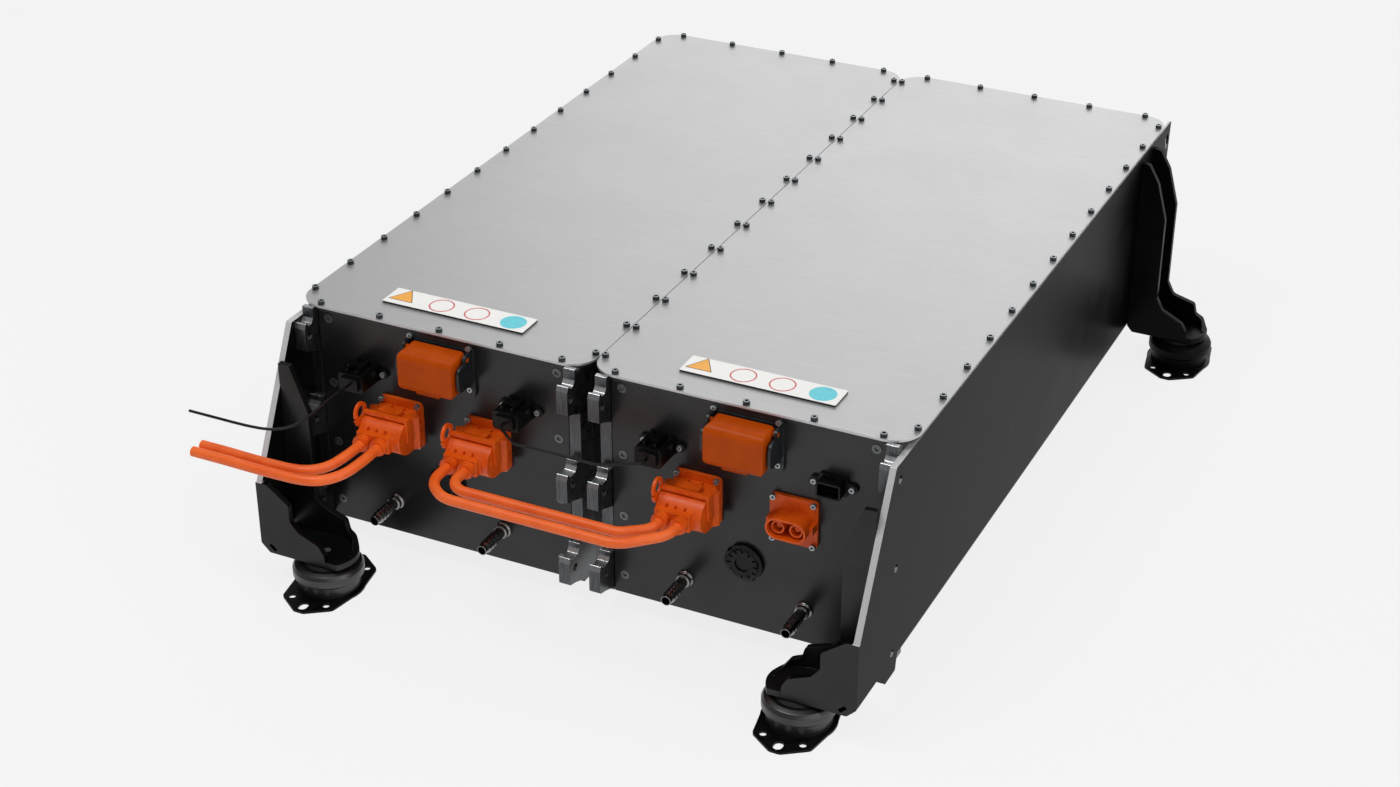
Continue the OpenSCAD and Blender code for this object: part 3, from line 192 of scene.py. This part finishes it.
# %% Jumpers between the two modules
outer_corners = [(-156.8, -518), (-156.8, -554), (-126.8, -580),
                 (106.2, -580), (152.2, -536), (152.2, -518)]
inner_corners = [(-132.8, -518), (-132.8, -543), (-116.8, -557),
                 (95.2, -557), (128.2, -533), (128.2, -518)]
signal_corners = [(-93.2, -488), (-93.2, -496), (-59.2, -522.5),
                  (52.5, -522.5), (97.5, -498), (97.5, -488)]
outer_bend, inner_bend, signal_bend = 40.0, 25.0, 17.0

jumpers = []
for node, corners, bend, height, diameter in (
    ("power_jumper_1", outer_corners, outer_bend, power_z, power_d),
    ("power_jumper_2", inner_corners, inner_bend, power_z, power_d),
    ("signal_jumper", signal_corners, signal_bend, signal_z, signal_d),
):
    curve = bent_curve(node + "_line", corners, bend, height, diameter)
    print(node, "is", round(length_of(walk_along(curve)) * 1000), "mm long")
    jumpers.append(tube_from(curve, node))

# %% [markdown]
# ## Finishes
#
# Nothing on the real pack is one flat colour. Each finish mixes two near tones with a
# noise, varies its gloss a little, and has a shallow relief. A Bevel node catches light
# along edges that a saw or a mould leaves slightly round.

# %% Helpers for the finishes
def tone(red, green, blue):
    def linear(value):
        value /= 255
        return value / 12.92 if value <= 0.04045 else ((value + 0.055) / 1.055) ** 2.4
    return (linear(red), linear(green), linear(blue), 1.0)


def surface(name, metallic=0.0, specular=0.5, grazing=1.0):
    material = bpy.data.materials.new(name)
    material.use_nodes = True
    shader = material.node_tree.nodes["Principled BSDF"]
    shader.inputs["Metallic"].default_value = metallic
    shader.inputs["Specular IOR Level"].default_value = specular
    shader.inputs["Specular Tint"].default_value = (grazing, grazing, grazing, 1.0)
    return material, material.node_tree, shader


def speckle(tree, scale, stretch=(1.0, 1.0, 1.0), detail=3.0):
    where = tree.nodes.new("ShaderNodeTexCoord")
    mapping = tree.nodes.new("ShaderNodeMapping")
    mapping.inputs["Scale"].default_value = stretch
    noise = tree.nodes.new("ShaderNodeTexNoise")
    noise.inputs["Scale"].default_value = scale
    noise.inputs["Detail"].default_value = detail
    tree.links.new(where.outputs["Object"], mapping.inputs["Vector"])
    tree.links.new(mapping.outputs["Vector"], noise.inputs["Vector"])
    return noise.outputs["Fac"]


def two_tones(tree, socket, factor, dark, light):
    ramp = tree.nodes.new("ShaderNodeValToRGB")
    ramp.color_ramp.elements[0].position = 0.35
    ramp.color_ramp.elements[0].color = dark
    ramp.color_ramp.elements[1].position = 0.65
    ramp.color_ramp.elements[1].color = light
    tree.links.new(factor, ramp.inputs["Fac"])
    tree.links.new(ramp.outputs["Color"], socket)
    return ramp.outputs["Color"]


def gloss(tree, shader, factor, low, high):
    span = tree.nodes.new("ShaderNodeMapRange")
    span.inputs["From Min"].default_value = 0.35
    span.inputs["From Max"].default_value = 0.65
    span.inputs["To Min"].default_value = low
    span.inputs["To Max"].default_value = high
    tree.links.new(factor, span.inputs["Value"])
    tree.links.new(span.outputs["Result"], shader.inputs["Roughness"])


def relief(tree, shader, factor, depth_mm, edge_mm=0.0):
    bump = tree.nodes.new("ShaderNodeBump")
    bump.inputs["Strength"].default_value = 1.0
    bump.inputs["Distance"].default_value = depth_mm * mm
    tree.links.new(factor, bump.inputs["Height"])
    if edge_mm:
        edge = tree.nodes.new("ShaderNodeBevel")
        edge.samples = 4
        edge.inputs["Radius"].default_value = edge_mm * mm
        tree.links.new(edge.outputs["Normal"], bump.inputs["Normal"])
    tree.links.new(bump.outputs["Normal"], shader.inputs["Normal"])


def facing_up(tree, low, high):
    """0 on walls, 1 on faces that look up, between the two heights of the normal."""
    where = tree.nodes.new("ShaderNodeTexCoord")
    parts = tree.nodes.new("ShaderNodeSeparateXYZ")
    span = tree.nodes.new("ShaderNodeMapRange")
    span.inputs["From Min"].default_value = low
    span.inputs["From Max"].default_value = high
    tree.links.new(where.outputs["Normal"], parts.inputs["Vector"])
    tree.links.new(parts.outputs["Z"], span.inputs["Value"])
    return span.outputs["Result"]


def beyond(tree, distance_mm):
    """1 where the surface lies farther from the middle plane than a distance."""
    where = tree.nodes.new("ShaderNodeTexCoord")
    parts = tree.nodes.new("ShaderNodeSeparateXYZ")
    away = tree.nodes.new("ShaderNodeMath")
    away.operation = "ABSOLUTE"
    past = tree.nodes.new("ShaderNodeMath")
    past.operation = "GREATER_THAN"
    past.inputs[1].default_value = distance_mm * mm
    tree.links.new(where.outputs["Object"], parts.inputs["Vector"])
    tree.links.new(parts.outputs["X"], away.inputs[0])
    tree.links.new(away.outputs[0], past.inputs[0])
    return past.outputs[0]


def product(tree, first, second):
    both = tree.nodes.new("ShaderNodeMath")
    both.operation = "MULTIPLY"
    tree.links.new(first, both.inputs[0])
    tree.links.new(second, both.inputs[1])
    return both.outputs[0]


# Mixes painted light in by a mask: a painted highlight on faces that look up, and on the labels the white
# face over walls in painted shade. The metallic can drop on the painted highlight.
def painted_light_tone(tree, shader, base_colour, factor, bright, highlight_metallic=None):
    mix = tree.nodes.new("ShaderNodeMix")
    mix.data_type = "RGBA"
    tree.links.new(factor, mix.inputs["Factor"])
    tree.links.new(base_colour, mix.inputs[6])
    mix.inputs[7].default_value = bright
    tree.links.new(mix.outputs[2], shader.inputs["Base Color"])
    if highlight_metallic is not None:
        span = tree.nodes.new("ShaderNodeMapRange")
        span.inputs["To Min"].default_value = shader.inputs["Metallic"].default_value
        span.inputs["To Max"].default_value = highlight_metallic
        tree.links.new(factor, span.inputs["Value"])
        tree.links.new(span.outputs["Result"], shader.inputs["Metallic"])


# %% [markdown]
# ### Sheet metal
#
# The lids are plain light sheet with a fine brushed grain, which is a noise stretched
# along one axis. The modules and the side frames have a thin black-grey coat over
# metal, so their colour stays near black and they still mirror what stands in front of
# them. The cut edges of the side plates that look up get a painted highlight, a bright
# tone with little metal in it: Object normals pick out what looks up, and the distance
# from the middle plane leaves the bracket flanges out.

# %% Lid sheet, black coat and painted highlights on the cut edges
lid_sheet, tree, shader = surface("lid sheet", metallic=0.85)
brushed = speckle(tree, 40, (1.0, 24.0, 1.0), 5)
two_tones(tree, shader.inputs["Base Color"], brushed, tone(193, 193, 194), tone(200, 200, 201))
gloss(tree, shader, speckle(tree, 9), 0.44, 0.46)
relief(tree, shader, brushed, 0.007, 0.6)

black_coat, tree, shader = surface("black coat", metallic=0.75)
patch = speckle(tree, 14, detail=5)
two_tones(tree, shader.inputs["Base Color"], patch, tone(52, 52, 53), tone(58, 58, 59))
gloss(tree, shader, patch, 0.27, 0.33)
relief(tree, shader, speckle(tree, 900, detail=2), 0.006, 0.5)

frame_coat, tree, shader = surface("side frame coat", metallic=1.0, grazing=0.5)
patch = speckle(tree, 11, detail=5)
base = two_tones(tree, shader.inputs["Base Color"], patch, tone(54, 54, 55), tone(60, 60, 61))
plate_inside = 395.0
# Painted highlight: up-facing cut edges of the side plates take a bright tone with little metal.
painted_edge_highlight = product(tree, facing_up(tree, 0.25, 0.4), beyond(tree, plate_inside))
painted_light_tone(tree, shader, base, painted_edge_highlight, tone(196, 196, 197), highlight_metallic=0.1)
gloss(tree, shader, patch, 0.30, 0.36)
relief(tree, shader, speckle(tree, 900, detail=2), 0.006, 0.7)

bracket_coat, tree, shader = surface("bracket coat", metallic=0.9, grazing=0.5)
patch = speckle(tree, 16, detail=5)
two_tones(tree, shader.inputs["Base Color"], patch, tone(50, 50, 51), tone(58, 58, 59))
gloss(tree, shader, patch, 0.28, 0.36)
relief(tree, shader, speckle(tree, 900, detail=2), 0.006, 0.8)

# Painted shade: a near-black copy of the bracket coat for the rear brackets and the rear mount bells,
# which sit in shade under the back of the pack.
shaded_rear_coat, tree, shader = surface("rear bracket coat in painted shade", metallic=0.3, specular=0.15, grazing=0.5)
patch = speckle(tree, 16, detail=5)
two_tones(tree, shader.inputs["Base Color"], patch, tone(6, 6, 7), tone(12, 12, 13))
gloss(tree, shader, patch, 0.34, 0.44)
relief(tree, shader, speckle(tree, 900, detail=2), 0.006, 0.8)

lug_metal, tree, shader = surface("lug metal", metallic=0.9)
sawn = speckle(tree, 60, (14.0, 1.0, 1.0), 4)
base = two_tones(tree, shader.inputs["Base Color"], sawn, tone(72, 73, 75), tone(92, 94, 96))
# Painted highlight: faces that look up take a light tone.
painted_light_tone(tree, shader, base, facing_up(tree, 0.15, 0.75), tone(205, 206, 208))
gloss(tree, shader, sawn, 0.26, 0.36)
relief(tree, shader, sawn, 0.01, 0.5)

# %% [markdown]
# ### Small metal parts
#
# Screws, studs and hose ports are turned or forged, so their grain is finer and their
# gloss higher than the sheet's. The bells of the mounts are pressed, and the lid screws
# get a painted highlight: a light top ring on dark sides.

# %% Screws, ports, bells and feet
screw_steel, tree, shader = surface("screw steel", metallic=0.9)
fine = speckle(tree, 420, detail=3)
base = two_tones(tree, shader.inputs["Base Color"], fine, tone(44, 47, 49), tone(66, 70, 72))
# Painted highlight: faces that look up take a light ring.
painted_light_tone(tree, shader, base, facing_up(tree, 0.6, 0.9), tone(150, 156, 158))
gloss(tree, shader, fine, 0.28, 0.4)
relief(tree, shader, fine, 0.01, 0.4)

bright_steel, tree, shader = surface("connector screw steel", metallic=0.85)
fine = speckle(tree, 420, detail=3)
two_tones(tree, shader.inputs["Base Color"], fine, tone(150, 155, 158), tone(180, 184, 187))
gloss(tree, shader, fine, 0.3, 0.42)
relief(tree, shader, fine, 0.01, 0.4)

panel_screw_steel, tree, shader = surface("panel screw steel", metallic=0.8)
fine = speckle(tree, 300, detail=3)
two_tones(tree, shader.inputs["Base Color"], fine, tone(92, 94, 95), tone(112, 114, 115))
gloss(tree, shader, fine, 0.34, 0.46)
relief(tree, shader, fine, 0.01, 0.3)

port_steel, tree, shader = surface("hose port steel", metallic=1.0)
turned = speckle(tree, 160, (1.0, 10.0, 1.0), 4)
two_tones(tree, shader.inputs["Base Color"], turned, tone(122, 120, 119), tone(150, 148, 146))
gloss(tree, shader, turned, 0.22, 0.3)
relief(tree, shader, turned, 0.01, 0.3)

bell_metal, tree, shader = surface("mount bell metal", metallic=0.95)
pressed = speckle(tree, 30, (1.0, 1.0, 14.0), 4)
two_tones(tree, shader.inputs["Base Color"], pressed, tone(74, 74, 75), tone(84, 84, 85))
gloss(tree, shader, pressed, 0.33, 0.38)
relief(tree, shader, pressed, 0.004, 0.6)

foot_coat, tree, shader = surface("foot coat", metallic=0.2, specular=0.2)
patch = speckle(tree, 60, detail=4)
two_tones(tree, shader.inputs["Base Color"], patch, tone(5, 5, 5), tone(12, 12, 12))
gloss(tree, shader, patch, 0.34, 0.46)
relief(tree, shader, speckle(tree, 700, detail=2), 0.02, 0.6)

mount_rubber, tree, shader = surface("mount rubber", specular=0.35)
grainy = speckle(tree, 500, detail=3)
two_tones(tree, shader.inputs["Base Color"], grainy, tone(16, 16, 17), tone(26, 26, 27))
gloss(tree, shader, grainy, 0.62, 0.75)
relief(tree, shader, grainy, 0.05)

# %% [markdown]
# ### Mouldings and cable jackets
#
# The power connectors and the covers are orange polyamide: a fine spark-eroded
# texture, a soft sheen, and slightly paler worn tones. The jackets are smoother and a
# little redder. The covers are darker and duller than the plugs. The signal connectors
# are nearly black, and the bases of the covers are a bluish dark grey.

# %% Orange and black mouldings
orange_moulding, tree, shader = surface("orange moulding", specular=0.35)
worn = speckle(tree, 55, detail=5)
two_tones(tree, shader.inputs["Base Color"], worn, tone(214, 78, 4), tone(230, 92, 10))
gloss(tree, shader, worn, 0.34, 0.46)
relief(tree, shader, speckle(tree, 1500, detail=2), 0.02, 0.6)

cover_moulding, tree, shader = surface("cover moulding", specular=0.1)
worn = speckle(tree, 40, detail=5)
two_tones(tree, shader.inputs["Base Color"], worn, tone(172, 66, 3), tone(182, 72, 6))
gloss(tree, shader, worn, 0.3, 0.38)
relief(tree, shader, speckle(tree, 1500, detail=2), 0.015, 0.8)

orange_jacket, tree, shader = surface("orange cable jacket", specular=0.45)
worn = speckle(tree, 30, detail=4)
two_tones(tree, shader.inputs["Base Color"], worn, tone(234, 94, 26), tone(244, 108, 38))
gloss(tree, shader, worn, 0.4, 0.5)
relief(tree, shader, speckle(tree, 900, detail=2), 0.015)

black_moulding, tree, shader = surface("black moulding", specular=0.5)
worn = speckle(tree, 70, detail=5)
two_tones(tree, shader.inputs["Base Color"], worn, tone(20, 23, 26), tone(30, 34, 37))
gloss(tree, shader, worn, 0.32, 0.44)
relief(tree, shader, speckle(tree, 1400, detail=2), 0.02, 0.5)

signal_moulding, tree, shader = surface("signal connector moulding", specular=0.22)
worn = speckle(tree, 70, detail=5)
two_tones(tree, shader.inputs["Base Color"], worn, tone(3, 3, 3), tone(9, 9, 10))
gloss(tree, shader, worn, 0.3, 0.4)
relief(tree, shader, speckle(tree, 1400, detail=2), 0.02, 0.4)

black_jacket, tree, shader = surface("black cable jacket", specular=0.3)
worn = speckle(tree, 60, detail=4)
two_tones(tree, shader.inputs["Base Color"], worn, tone(4, 4, 4), tone(10, 10, 10))
gloss(tree, shader, worn, 0.38, 0.48)
relief(tree, shader, speckle(tree, 900, detail=2), 0.01)

# %% [markdown]
# ### Label plates
#
# Each plate has a white face, and its walls are painted nearly black as painted shade,
# the shadow gap under a raised plate. The print is left generic: plain fields of colour
# with no signs in them.

# %% White face, walls in painted shade, and the inks
label_white, tree, shader = surface("label white", specular=0.5)
mottle = speckle(tree, 120, detail=3)
base = two_tones(tree, shader.inputs["Base Color"], mottle, tone(12, 12, 12), tone(20, 20, 20))
# Painted shade: the walls keep the near-black tone, and faces that look up take the white.
painted_light_tone(tree, shader, base, facing_up(tree, 0.5, 0.6), tone(236, 235, 232))
gloss(tree, shader, mottle, 0.34, 0.42)
relief(tree, shader, mottle, 0.01, 0.2)


def ink(name, dark, light):
    material, tree, shader = surface(name)
    dots = speckle(tree, 260, detail=3)
    two_tones(tree, shader.inputs["Base Color"], dots, dark, light)
    gloss(tree, shader, dots, 0.36, 0.44)
    return material


amber_ink = ink("amber ink", tone(234, 160, 52), tone(242, 172, 66))
amber_line = ink("amber line", tone(70, 56, 34), tone(84, 68, 42))
red_ink = ink("red ink", tone(196, 66, 72), tone(206, 78, 82))
cyan_ink = ink("cyan ink", tone(84, 194, 208), tone(98, 206, 218))

# %% [markdown]
# ### Inside the housings
#
# Nothing inside shows while the lids are on, but the same care goes into it, because
# the model can be opened.

# %% Cells, cooling plate, trays, copper and boards
cell_sleeve, tree, shader = surface("cell sleeve", metallic=0.1)
patch = speckle(tree, 18, detail=4)
two_tones(tree, shader.inputs["Base Color"], patch, tone(92, 120, 142), tone(108, 136, 158))
gloss(tree, shader, patch, 0.4, 0.5)
relief(tree, shader, patch, 0.05, 0.5)

cooling_metal, tree, shader = surface("cooling extrusion", metallic=0.9)
drawn = speckle(tree, 40, (18.0, 1.0, 1.0), 4)
two_tones(tree, shader.inputs["Base Color"], drawn, tone(168, 170, 172), tone(190, 192, 194))
gloss(tree, shader, drawn, 0.3, 0.4)
relief(tree, shader, drawn, 0.02, 0.5)

tray_moulding, tree, shader = surface("tray moulding", specular=0.4)
patch = speckle(tree, 50, detail=4)
two_tones(tree, shader.inputs["Base Color"], patch, tone(34, 36, 38), tone(46, 48, 50))
gloss(tree, shader, patch, 0.45, 0.55)
relief(tree, shader, patch, 0.04, 0.5)

copper_bar, tree, shader = surface("copper bar", metallic=1.0)
rolled = speckle(tree, 60, (1.0, 16.0, 1.0), 4)
two_tones(tree, shader.inputs["Base Color"], rolled, tone(184, 112, 74), tone(206, 134, 92))
gloss(tree, shader, rolled, 0.25, 0.38)
relief(tree, shader, rolled, 0.01, 0.4)

board_green, tree, shader = surface("circuit board", specular=0.5)
patch = speckle(tree, 90, detail=4)
two_tones(tree, shader.inputs["Base Color"], patch, tone(22, 86, 46), tone(32, 104, 58))
gloss(tree, shader, patch, 0.35, 0.45)
relief(tree, shader, patch, 0.02, 0.3)

# %% [markdown]
# ## Dressing the CAD pieces
#
# A CAD node arrives as loose triangles with hard shading. Where a part is round or
# moulded, a merged copy takes its place: doubles are merged, so that the shading can
# run over the triangles, and edges sharper than 30 degrees stay hard. A Weighted Normal
# modifier lets the large faces decide the shading, so flats stay flat beside a round.
# Flat sheet parts need no copy: they keep the CAD node and only get a finish.

# %% A merged copy with smooth rounds
same_point = 0.01 * mm
hard_turn = math.radians(30)


def merged(node, material, body="pack"):
    work = bmesh.new()
    work.from_mesh(nodes_in[node].data)
    bmesh.ops.remove_doubles(work, verts=work.verts, dist=same_point)
    for face in work.faces:
        face.smooth = True
    for edge in work.edges:
        hard = len(edge.link_faces) != 2 or edge.calc_face_angle(0) > hard_turn
        edge.smooth = not hard
    mesh = bpy.data.meshes.new(node + "_dressed")
    work.to_mesh(mesh)
    work.free()
    mesh.materials.append(material)
    piece = bpy.data.objects.new(node + "_dressed", mesh)
    bpy.context.scene.collection.objects.link(piece)
    even = piece.modifiers.new("even shading", "WEIGHTED_NORMAL")
    even.keep_sharp = True
    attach(piece, body)
    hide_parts(node)
    return piece


def coat(node, material):
    slots = nodes_in[node].material_slots
    if not slots:
        nodes_in[node].data.materials.append(material)
    for held in slots:
        held.material = material


# %% Which finish goes where
flat_parts = {
    "housing_left": black_coat, "housing_right": black_coat,
    "lid_gaskets": mount_rubber, "rear_panels": black_coat,
    "front_panel_left": black_coat, "front_panel_right": black_coat,
    "cell_modules_left": cell_sleeve, "cell_modules_right": cell_sleeve,
    "cooling_plates": cooling_metal, "junction_boxes": tray_moulding, "busbars": copper_bar,
    "management_boards": board_green, "label_plates": label_white,
}
round_parts = {
    "lid_left": lid_sheet, "lid_right": lid_sheet,
    "corner_posts_left": lug_metal, "corner_posts_right": lug_metal,
    "lid_screws": screw_steel, "panel_screws": panel_screw_steel, "connector_screws": bright_steel,
    "disconnect_base_left": black_moulding, "disconnect_base_right": black_moulding,
    "service_links": copper_bar,
    "power_headers_left": orange_moulding, "power_headers_right": orange_moulding,
    "power_plug_lead": orange_moulding, "power_plug_left": orange_moulding,
    "power_plug_right": orange_moulding,
    "signal_sockets": signal_moulding, "signal_plugs": signal_moulding,
    "vents": signal_moulding, "coolant_ports": port_steel,
    "side_plate_left": frame_coat, "side_plate_right": frame_coat,
    "front_gusset_left": bracket_coat, "front_gusset_right": bracket_coat,
    # The rear brackets take the near-black rear coat, which is painted shade.
    "rear_bracket_left": shaded_rear_coat, "rear_bracket_right": shaded_rear_coat,
    "mount_foot_fl": foot_coat, "mount_foot_fr": foot_coat,
    "mount_foot_rl": foot_coat, "mount_foot_rr": foot_coat,
    "mount_bell_fl": bell_metal, "mount_bell_fr": bell_metal,
    # The rear bells take the near-black rear coat too, which is painted shade.
    "mount_bell_rl": shaded_rear_coat, "mount_bell_rr": shaded_rear_coat,
    "mount_rubbers": mount_rubber, "mount_studs": bright_steel,
}
moving_parts = {
    "disconnect_cover_left": cover_moulding, "disconnect_cover_right": cover_moulding,
    "plug_lever_lead": orange_moulding, "plug_lever_left": orange_moulding,
    "plug_lever_right": orange_moulding,
}
for node, material in flat_parts.items():
    coat(node, material)
for node, material in round_parts.items():
    merged(node, material)
for node, material in moving_parts.items():
    merged(node, material, body=node)
for lead in leads[:2] + jumpers[:2]:
    lead.data.materials.append(orange_jacket)
for lead in leads[2:] + jumpers[2:]:
    lead.data.materials.append(black_jacket)
print("dressed", len(round_parts) + len(moving_parts), "parts, coated", len(flat_parts))

# %% [markdown]
# ## Print on the label plates
#
# The fields are thin inlays on the plates: a triangle, two rings and a disc. Each
# starts as a flat shape on the plate's face and is extruded by a tenth of a millimetre.

# %% Where the plates lie
plate_low, plate_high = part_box("label_plates")
plate_length = 199 * mm
plate_depth = plate_high.y - plate_low.y
plate_y = (plate_low.y + plate_high.y) / 2
plate_centres = (plate_low.x + plate_length / 2, plate_high.x - plate_length / 2)
print("plates", round(plate_length / mm), "by", round(plate_depth / mm), "mm")


def inlay(name, material, shapes, thick=0.12 * mm):
    """shapes: functions that add flat faces to a bmesh at the plate's face."""
    work = bmesh.new()
    for shape in shapes:
        shape(work)
    flat = list(work.faces)
    grown = bmesh.ops.extrude_face_region(work, geom=flat)
    raised = [part for part in grown["geom"] if isinstance(part, bmesh.types.BMVert)]
    bmesh.ops.translate(work, verts=raised, vec=(0, 0, thick))
    bmesh.ops.recalc_face_normals(work, faces=work.faces)
    mesh = bpy.data.meshes.new(name)
    work.to_mesh(mesh)
    work.free()
    mesh.materials.append(material)
    piece = bpy.data.objects.new(name, mesh)
    bpy.context.scene.collection.objects.link(piece)
    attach(piece, "pack")
    return piece


def at_plate(centre_x, along):
    return Matrix.Translation((centre_x + along * mm, plate_y, plate_high.z - 0.02 * mm))


def disc(centre_x, along, radius_mm):
    def add(work):
        bmesh.ops.create_circle(work, cap_ends=True, segments=64, radius=radius_mm * mm,
                                matrix=at_plate(centre_x, along))
    return add


def ring(centre_x, along, outer_mm, inner_mm):
    def add(work):
        rims = []
        for radius_mm in (outer_mm, inner_mm):
            made = bmesh.ops.create_circle(work, segments=64, radius=radius_mm * mm,
                                           matrix=at_plate(centre_x, along))
            rims += list({edge for vert in made["verts"] for edge in vert.link_edges})
        bmesh.ops.bridge_loops(work, edges=rims)
    return add


def triangle(centre_x, along, side_mm, corner_mm):
    def add(work):
        made = bmesh.ops.create_circle(work, cap_ends=True, segments=3, radius=side_mm * mm / math.sqrt(3),
                                       matrix=at_plate(centre_x, along))
        if corner_mm:
            bmesh.ops.bevel(work, geom=made["verts"], offset=corner_mm * mm, offset_type="OFFSET",
                            affect="VERTICES", segments=4, profile=0.5, material=-1)
    return add


# %% Amber triangles, red rings and cyan discs
triangle_at, ring_places, disc_at = -79, (-25, 25), 76
line_side, fill_side = 35, 31.5
ring_outer, ring_inner, disc_radius = 16.2, 14.4, 16.5

inlay("label_triangles_line", amber_line,
      [triangle(x, triangle_at, line_side, 1.5) for x in plate_centres], thick=0.08 * mm)
inlay("label_triangles", amber_ink,
      [triangle(x, triangle_at, fill_side, 1.2) for x in plate_centres], thick=0.14 * mm)
inlay("label_rings", red_ink,
      [ring(x, along, ring_outer, ring_inner) for x in plate_centres for along in ring_places])
inlay("label_discs", cyan_ink, [disc(x, disc_at, disc_radius) for x in plate_centres])
print("printed fields on", len(plate_centres), "plates")

# %% [markdown]
# ## Studio
#
# A pale floor runs far behind the pack, so the camera sees nothing else. For the
# camera and for mirror rays most of it glows at one even value, and the rest is a
# plain surface that keeps a soft shadow. The world is a pale room, brighter on the
# right. A top lamp and a side lamp put the highlights on the edges, and a wide lamp
# behind the pack lights the lids at a grazing angle.

# %% Floor
floor_half, glow_share = 14.0, 0.88
floor_mesh = bpy.data.meshes.new("studio floor")
work = bmesh.new()
bmesh.ops.create_grid(work, x_segments=1, y_segments=1, size=floor_half)
work.to_mesh(floor_mesh)
work.free()
floor = bpy.data.objects.new("studio_floor", floor_mesh)
bpy.context.scene.collection.objects.link(floor)

floor_paint = bpy.data.materials.new("studio floor paint")
floor_paint.use_nodes = True
tree = floor_paint.node_tree
tree.nodes.clear()
end = tree.nodes.new("ShaderNodeOutputMaterial")
plain = tree.nodes.new("ShaderNodeBsdfDiffuse")
plain.inputs["Color"].default_value = tone(238, 238, 238)
glow = tree.nodes.new("ShaderNodeEmission")
glow.inputs["Color"].default_value = tone(247, 247, 247)
glow.inputs["Strength"].default_value = 1.0
ray = tree.nodes.new("ShaderNodeLightPath")
seen = tree.nodes.new("ShaderNodeMath")
seen.operation = "MAXIMUM"
seen_too = tree.nodes.new("ShaderNodeMath")
seen_too.operation = "MAXIMUM"
part = tree.nodes.new("ShaderNodeMath")
part.operation = "MULTIPLY"
part.inputs[1].default_value = glow_share
both = tree.nodes.new("ShaderNodeMixShader")
tree.links.new(ray.outputs["Is Camera Ray"], seen.inputs[0])
tree.links.new(ray.outputs["Is Glossy Ray"], seen.inputs[1])
tree.links.new(seen.outputs[0], seen_too.inputs[0])
tree.links.new(ray.outputs["Is Transmission Ray"], seen_too.inputs[1])
tree.links.new(seen_too.outputs[0], part.inputs[0])
tree.links.new(part.outputs[0], both.inputs["Fac"])
tree.links.new(plain.outputs[0], both.inputs[1])
tree.links.new(glow.outputs[0], both.inputs[2])
tree.links.new(both.outputs[0], end.inputs["Surface"])
floor_mesh.materials.append(floor_paint)
print("floor is", 2 * floor_half, "m wide")

# %% Room and lamps
room = bpy.data.worlds.new("studio room")
bpy.context.scene.world = room
room.use_nodes = True
tree = room.node_tree
sky = tree.nodes["Background"]
sky.inputs["Strength"].default_value = 1.15
where = tree.nodes.new("ShaderNodeTexCoord")
toward = tree.nodes.new("ShaderNodeVectorMath")
toward.operation = "DOT_PRODUCT"
toward.inputs[1].default_value = (0.83, 0.47, -0.33)
span = tree.nodes.new("ShaderNodeMapRange")
span.inputs["From Min"].default_value = -0.45
span.inputs["From Max"].default_value = 0.35
fade = tree.nodes.new("ShaderNodeValToRGB")
fade.color_ramp.elements[0].color = (0.22, 0.22, 0.22, 1.0)
fade.color_ramp.elements[1].color = (1.0, 1.0, 1.0, 1.0)
tree.links.new(where.outputs["Generated"], toward.inputs[0])
tree.links.new(toward.outputs["Value"], span.inputs["Value"])
tree.links.new(span.outputs["Result"], fade.inputs["Fac"])
tree.links.new(fade.outputs["Color"], sky.inputs["Color"])


def soft_lamp(name, place_m, aim_m, size_m, watts):
    data = bpy.data.lights.new(name, "AREA")
    data.shape = "RECTANGLE"
    data.size, data.size_y = size_m
    data.energy = watts
    lamp = bpy.data.objects.new(name, data)
    lamp.location = place_m
    lamp.rotation_mode = "QUATERNION"
    lamp.rotation_quaternion = (Vector(aim_m) - Vector(place_m)).to_track_quat("-Z", "Y")
    lamp.visible_camera = False
    bpy.context.scene.collection.objects.link(lamp)
    return lamp


soft_lamp("top lamp", (-0.5, -1.2, 2.5), (-0.1, -0.4, 0.2), (1.5, 0.4), 24)
soft_lamp("back lamp", (-0.9, 4.4, 2.1), (0.0, 0.2, 0.3), (4.2, 1.8), 25)
soft_lamp("side lamp", (2.6, -0.6, 1.6), (0.2, 0.0, 0.2), (1.2, 1.2), 6)
print("studio is set")
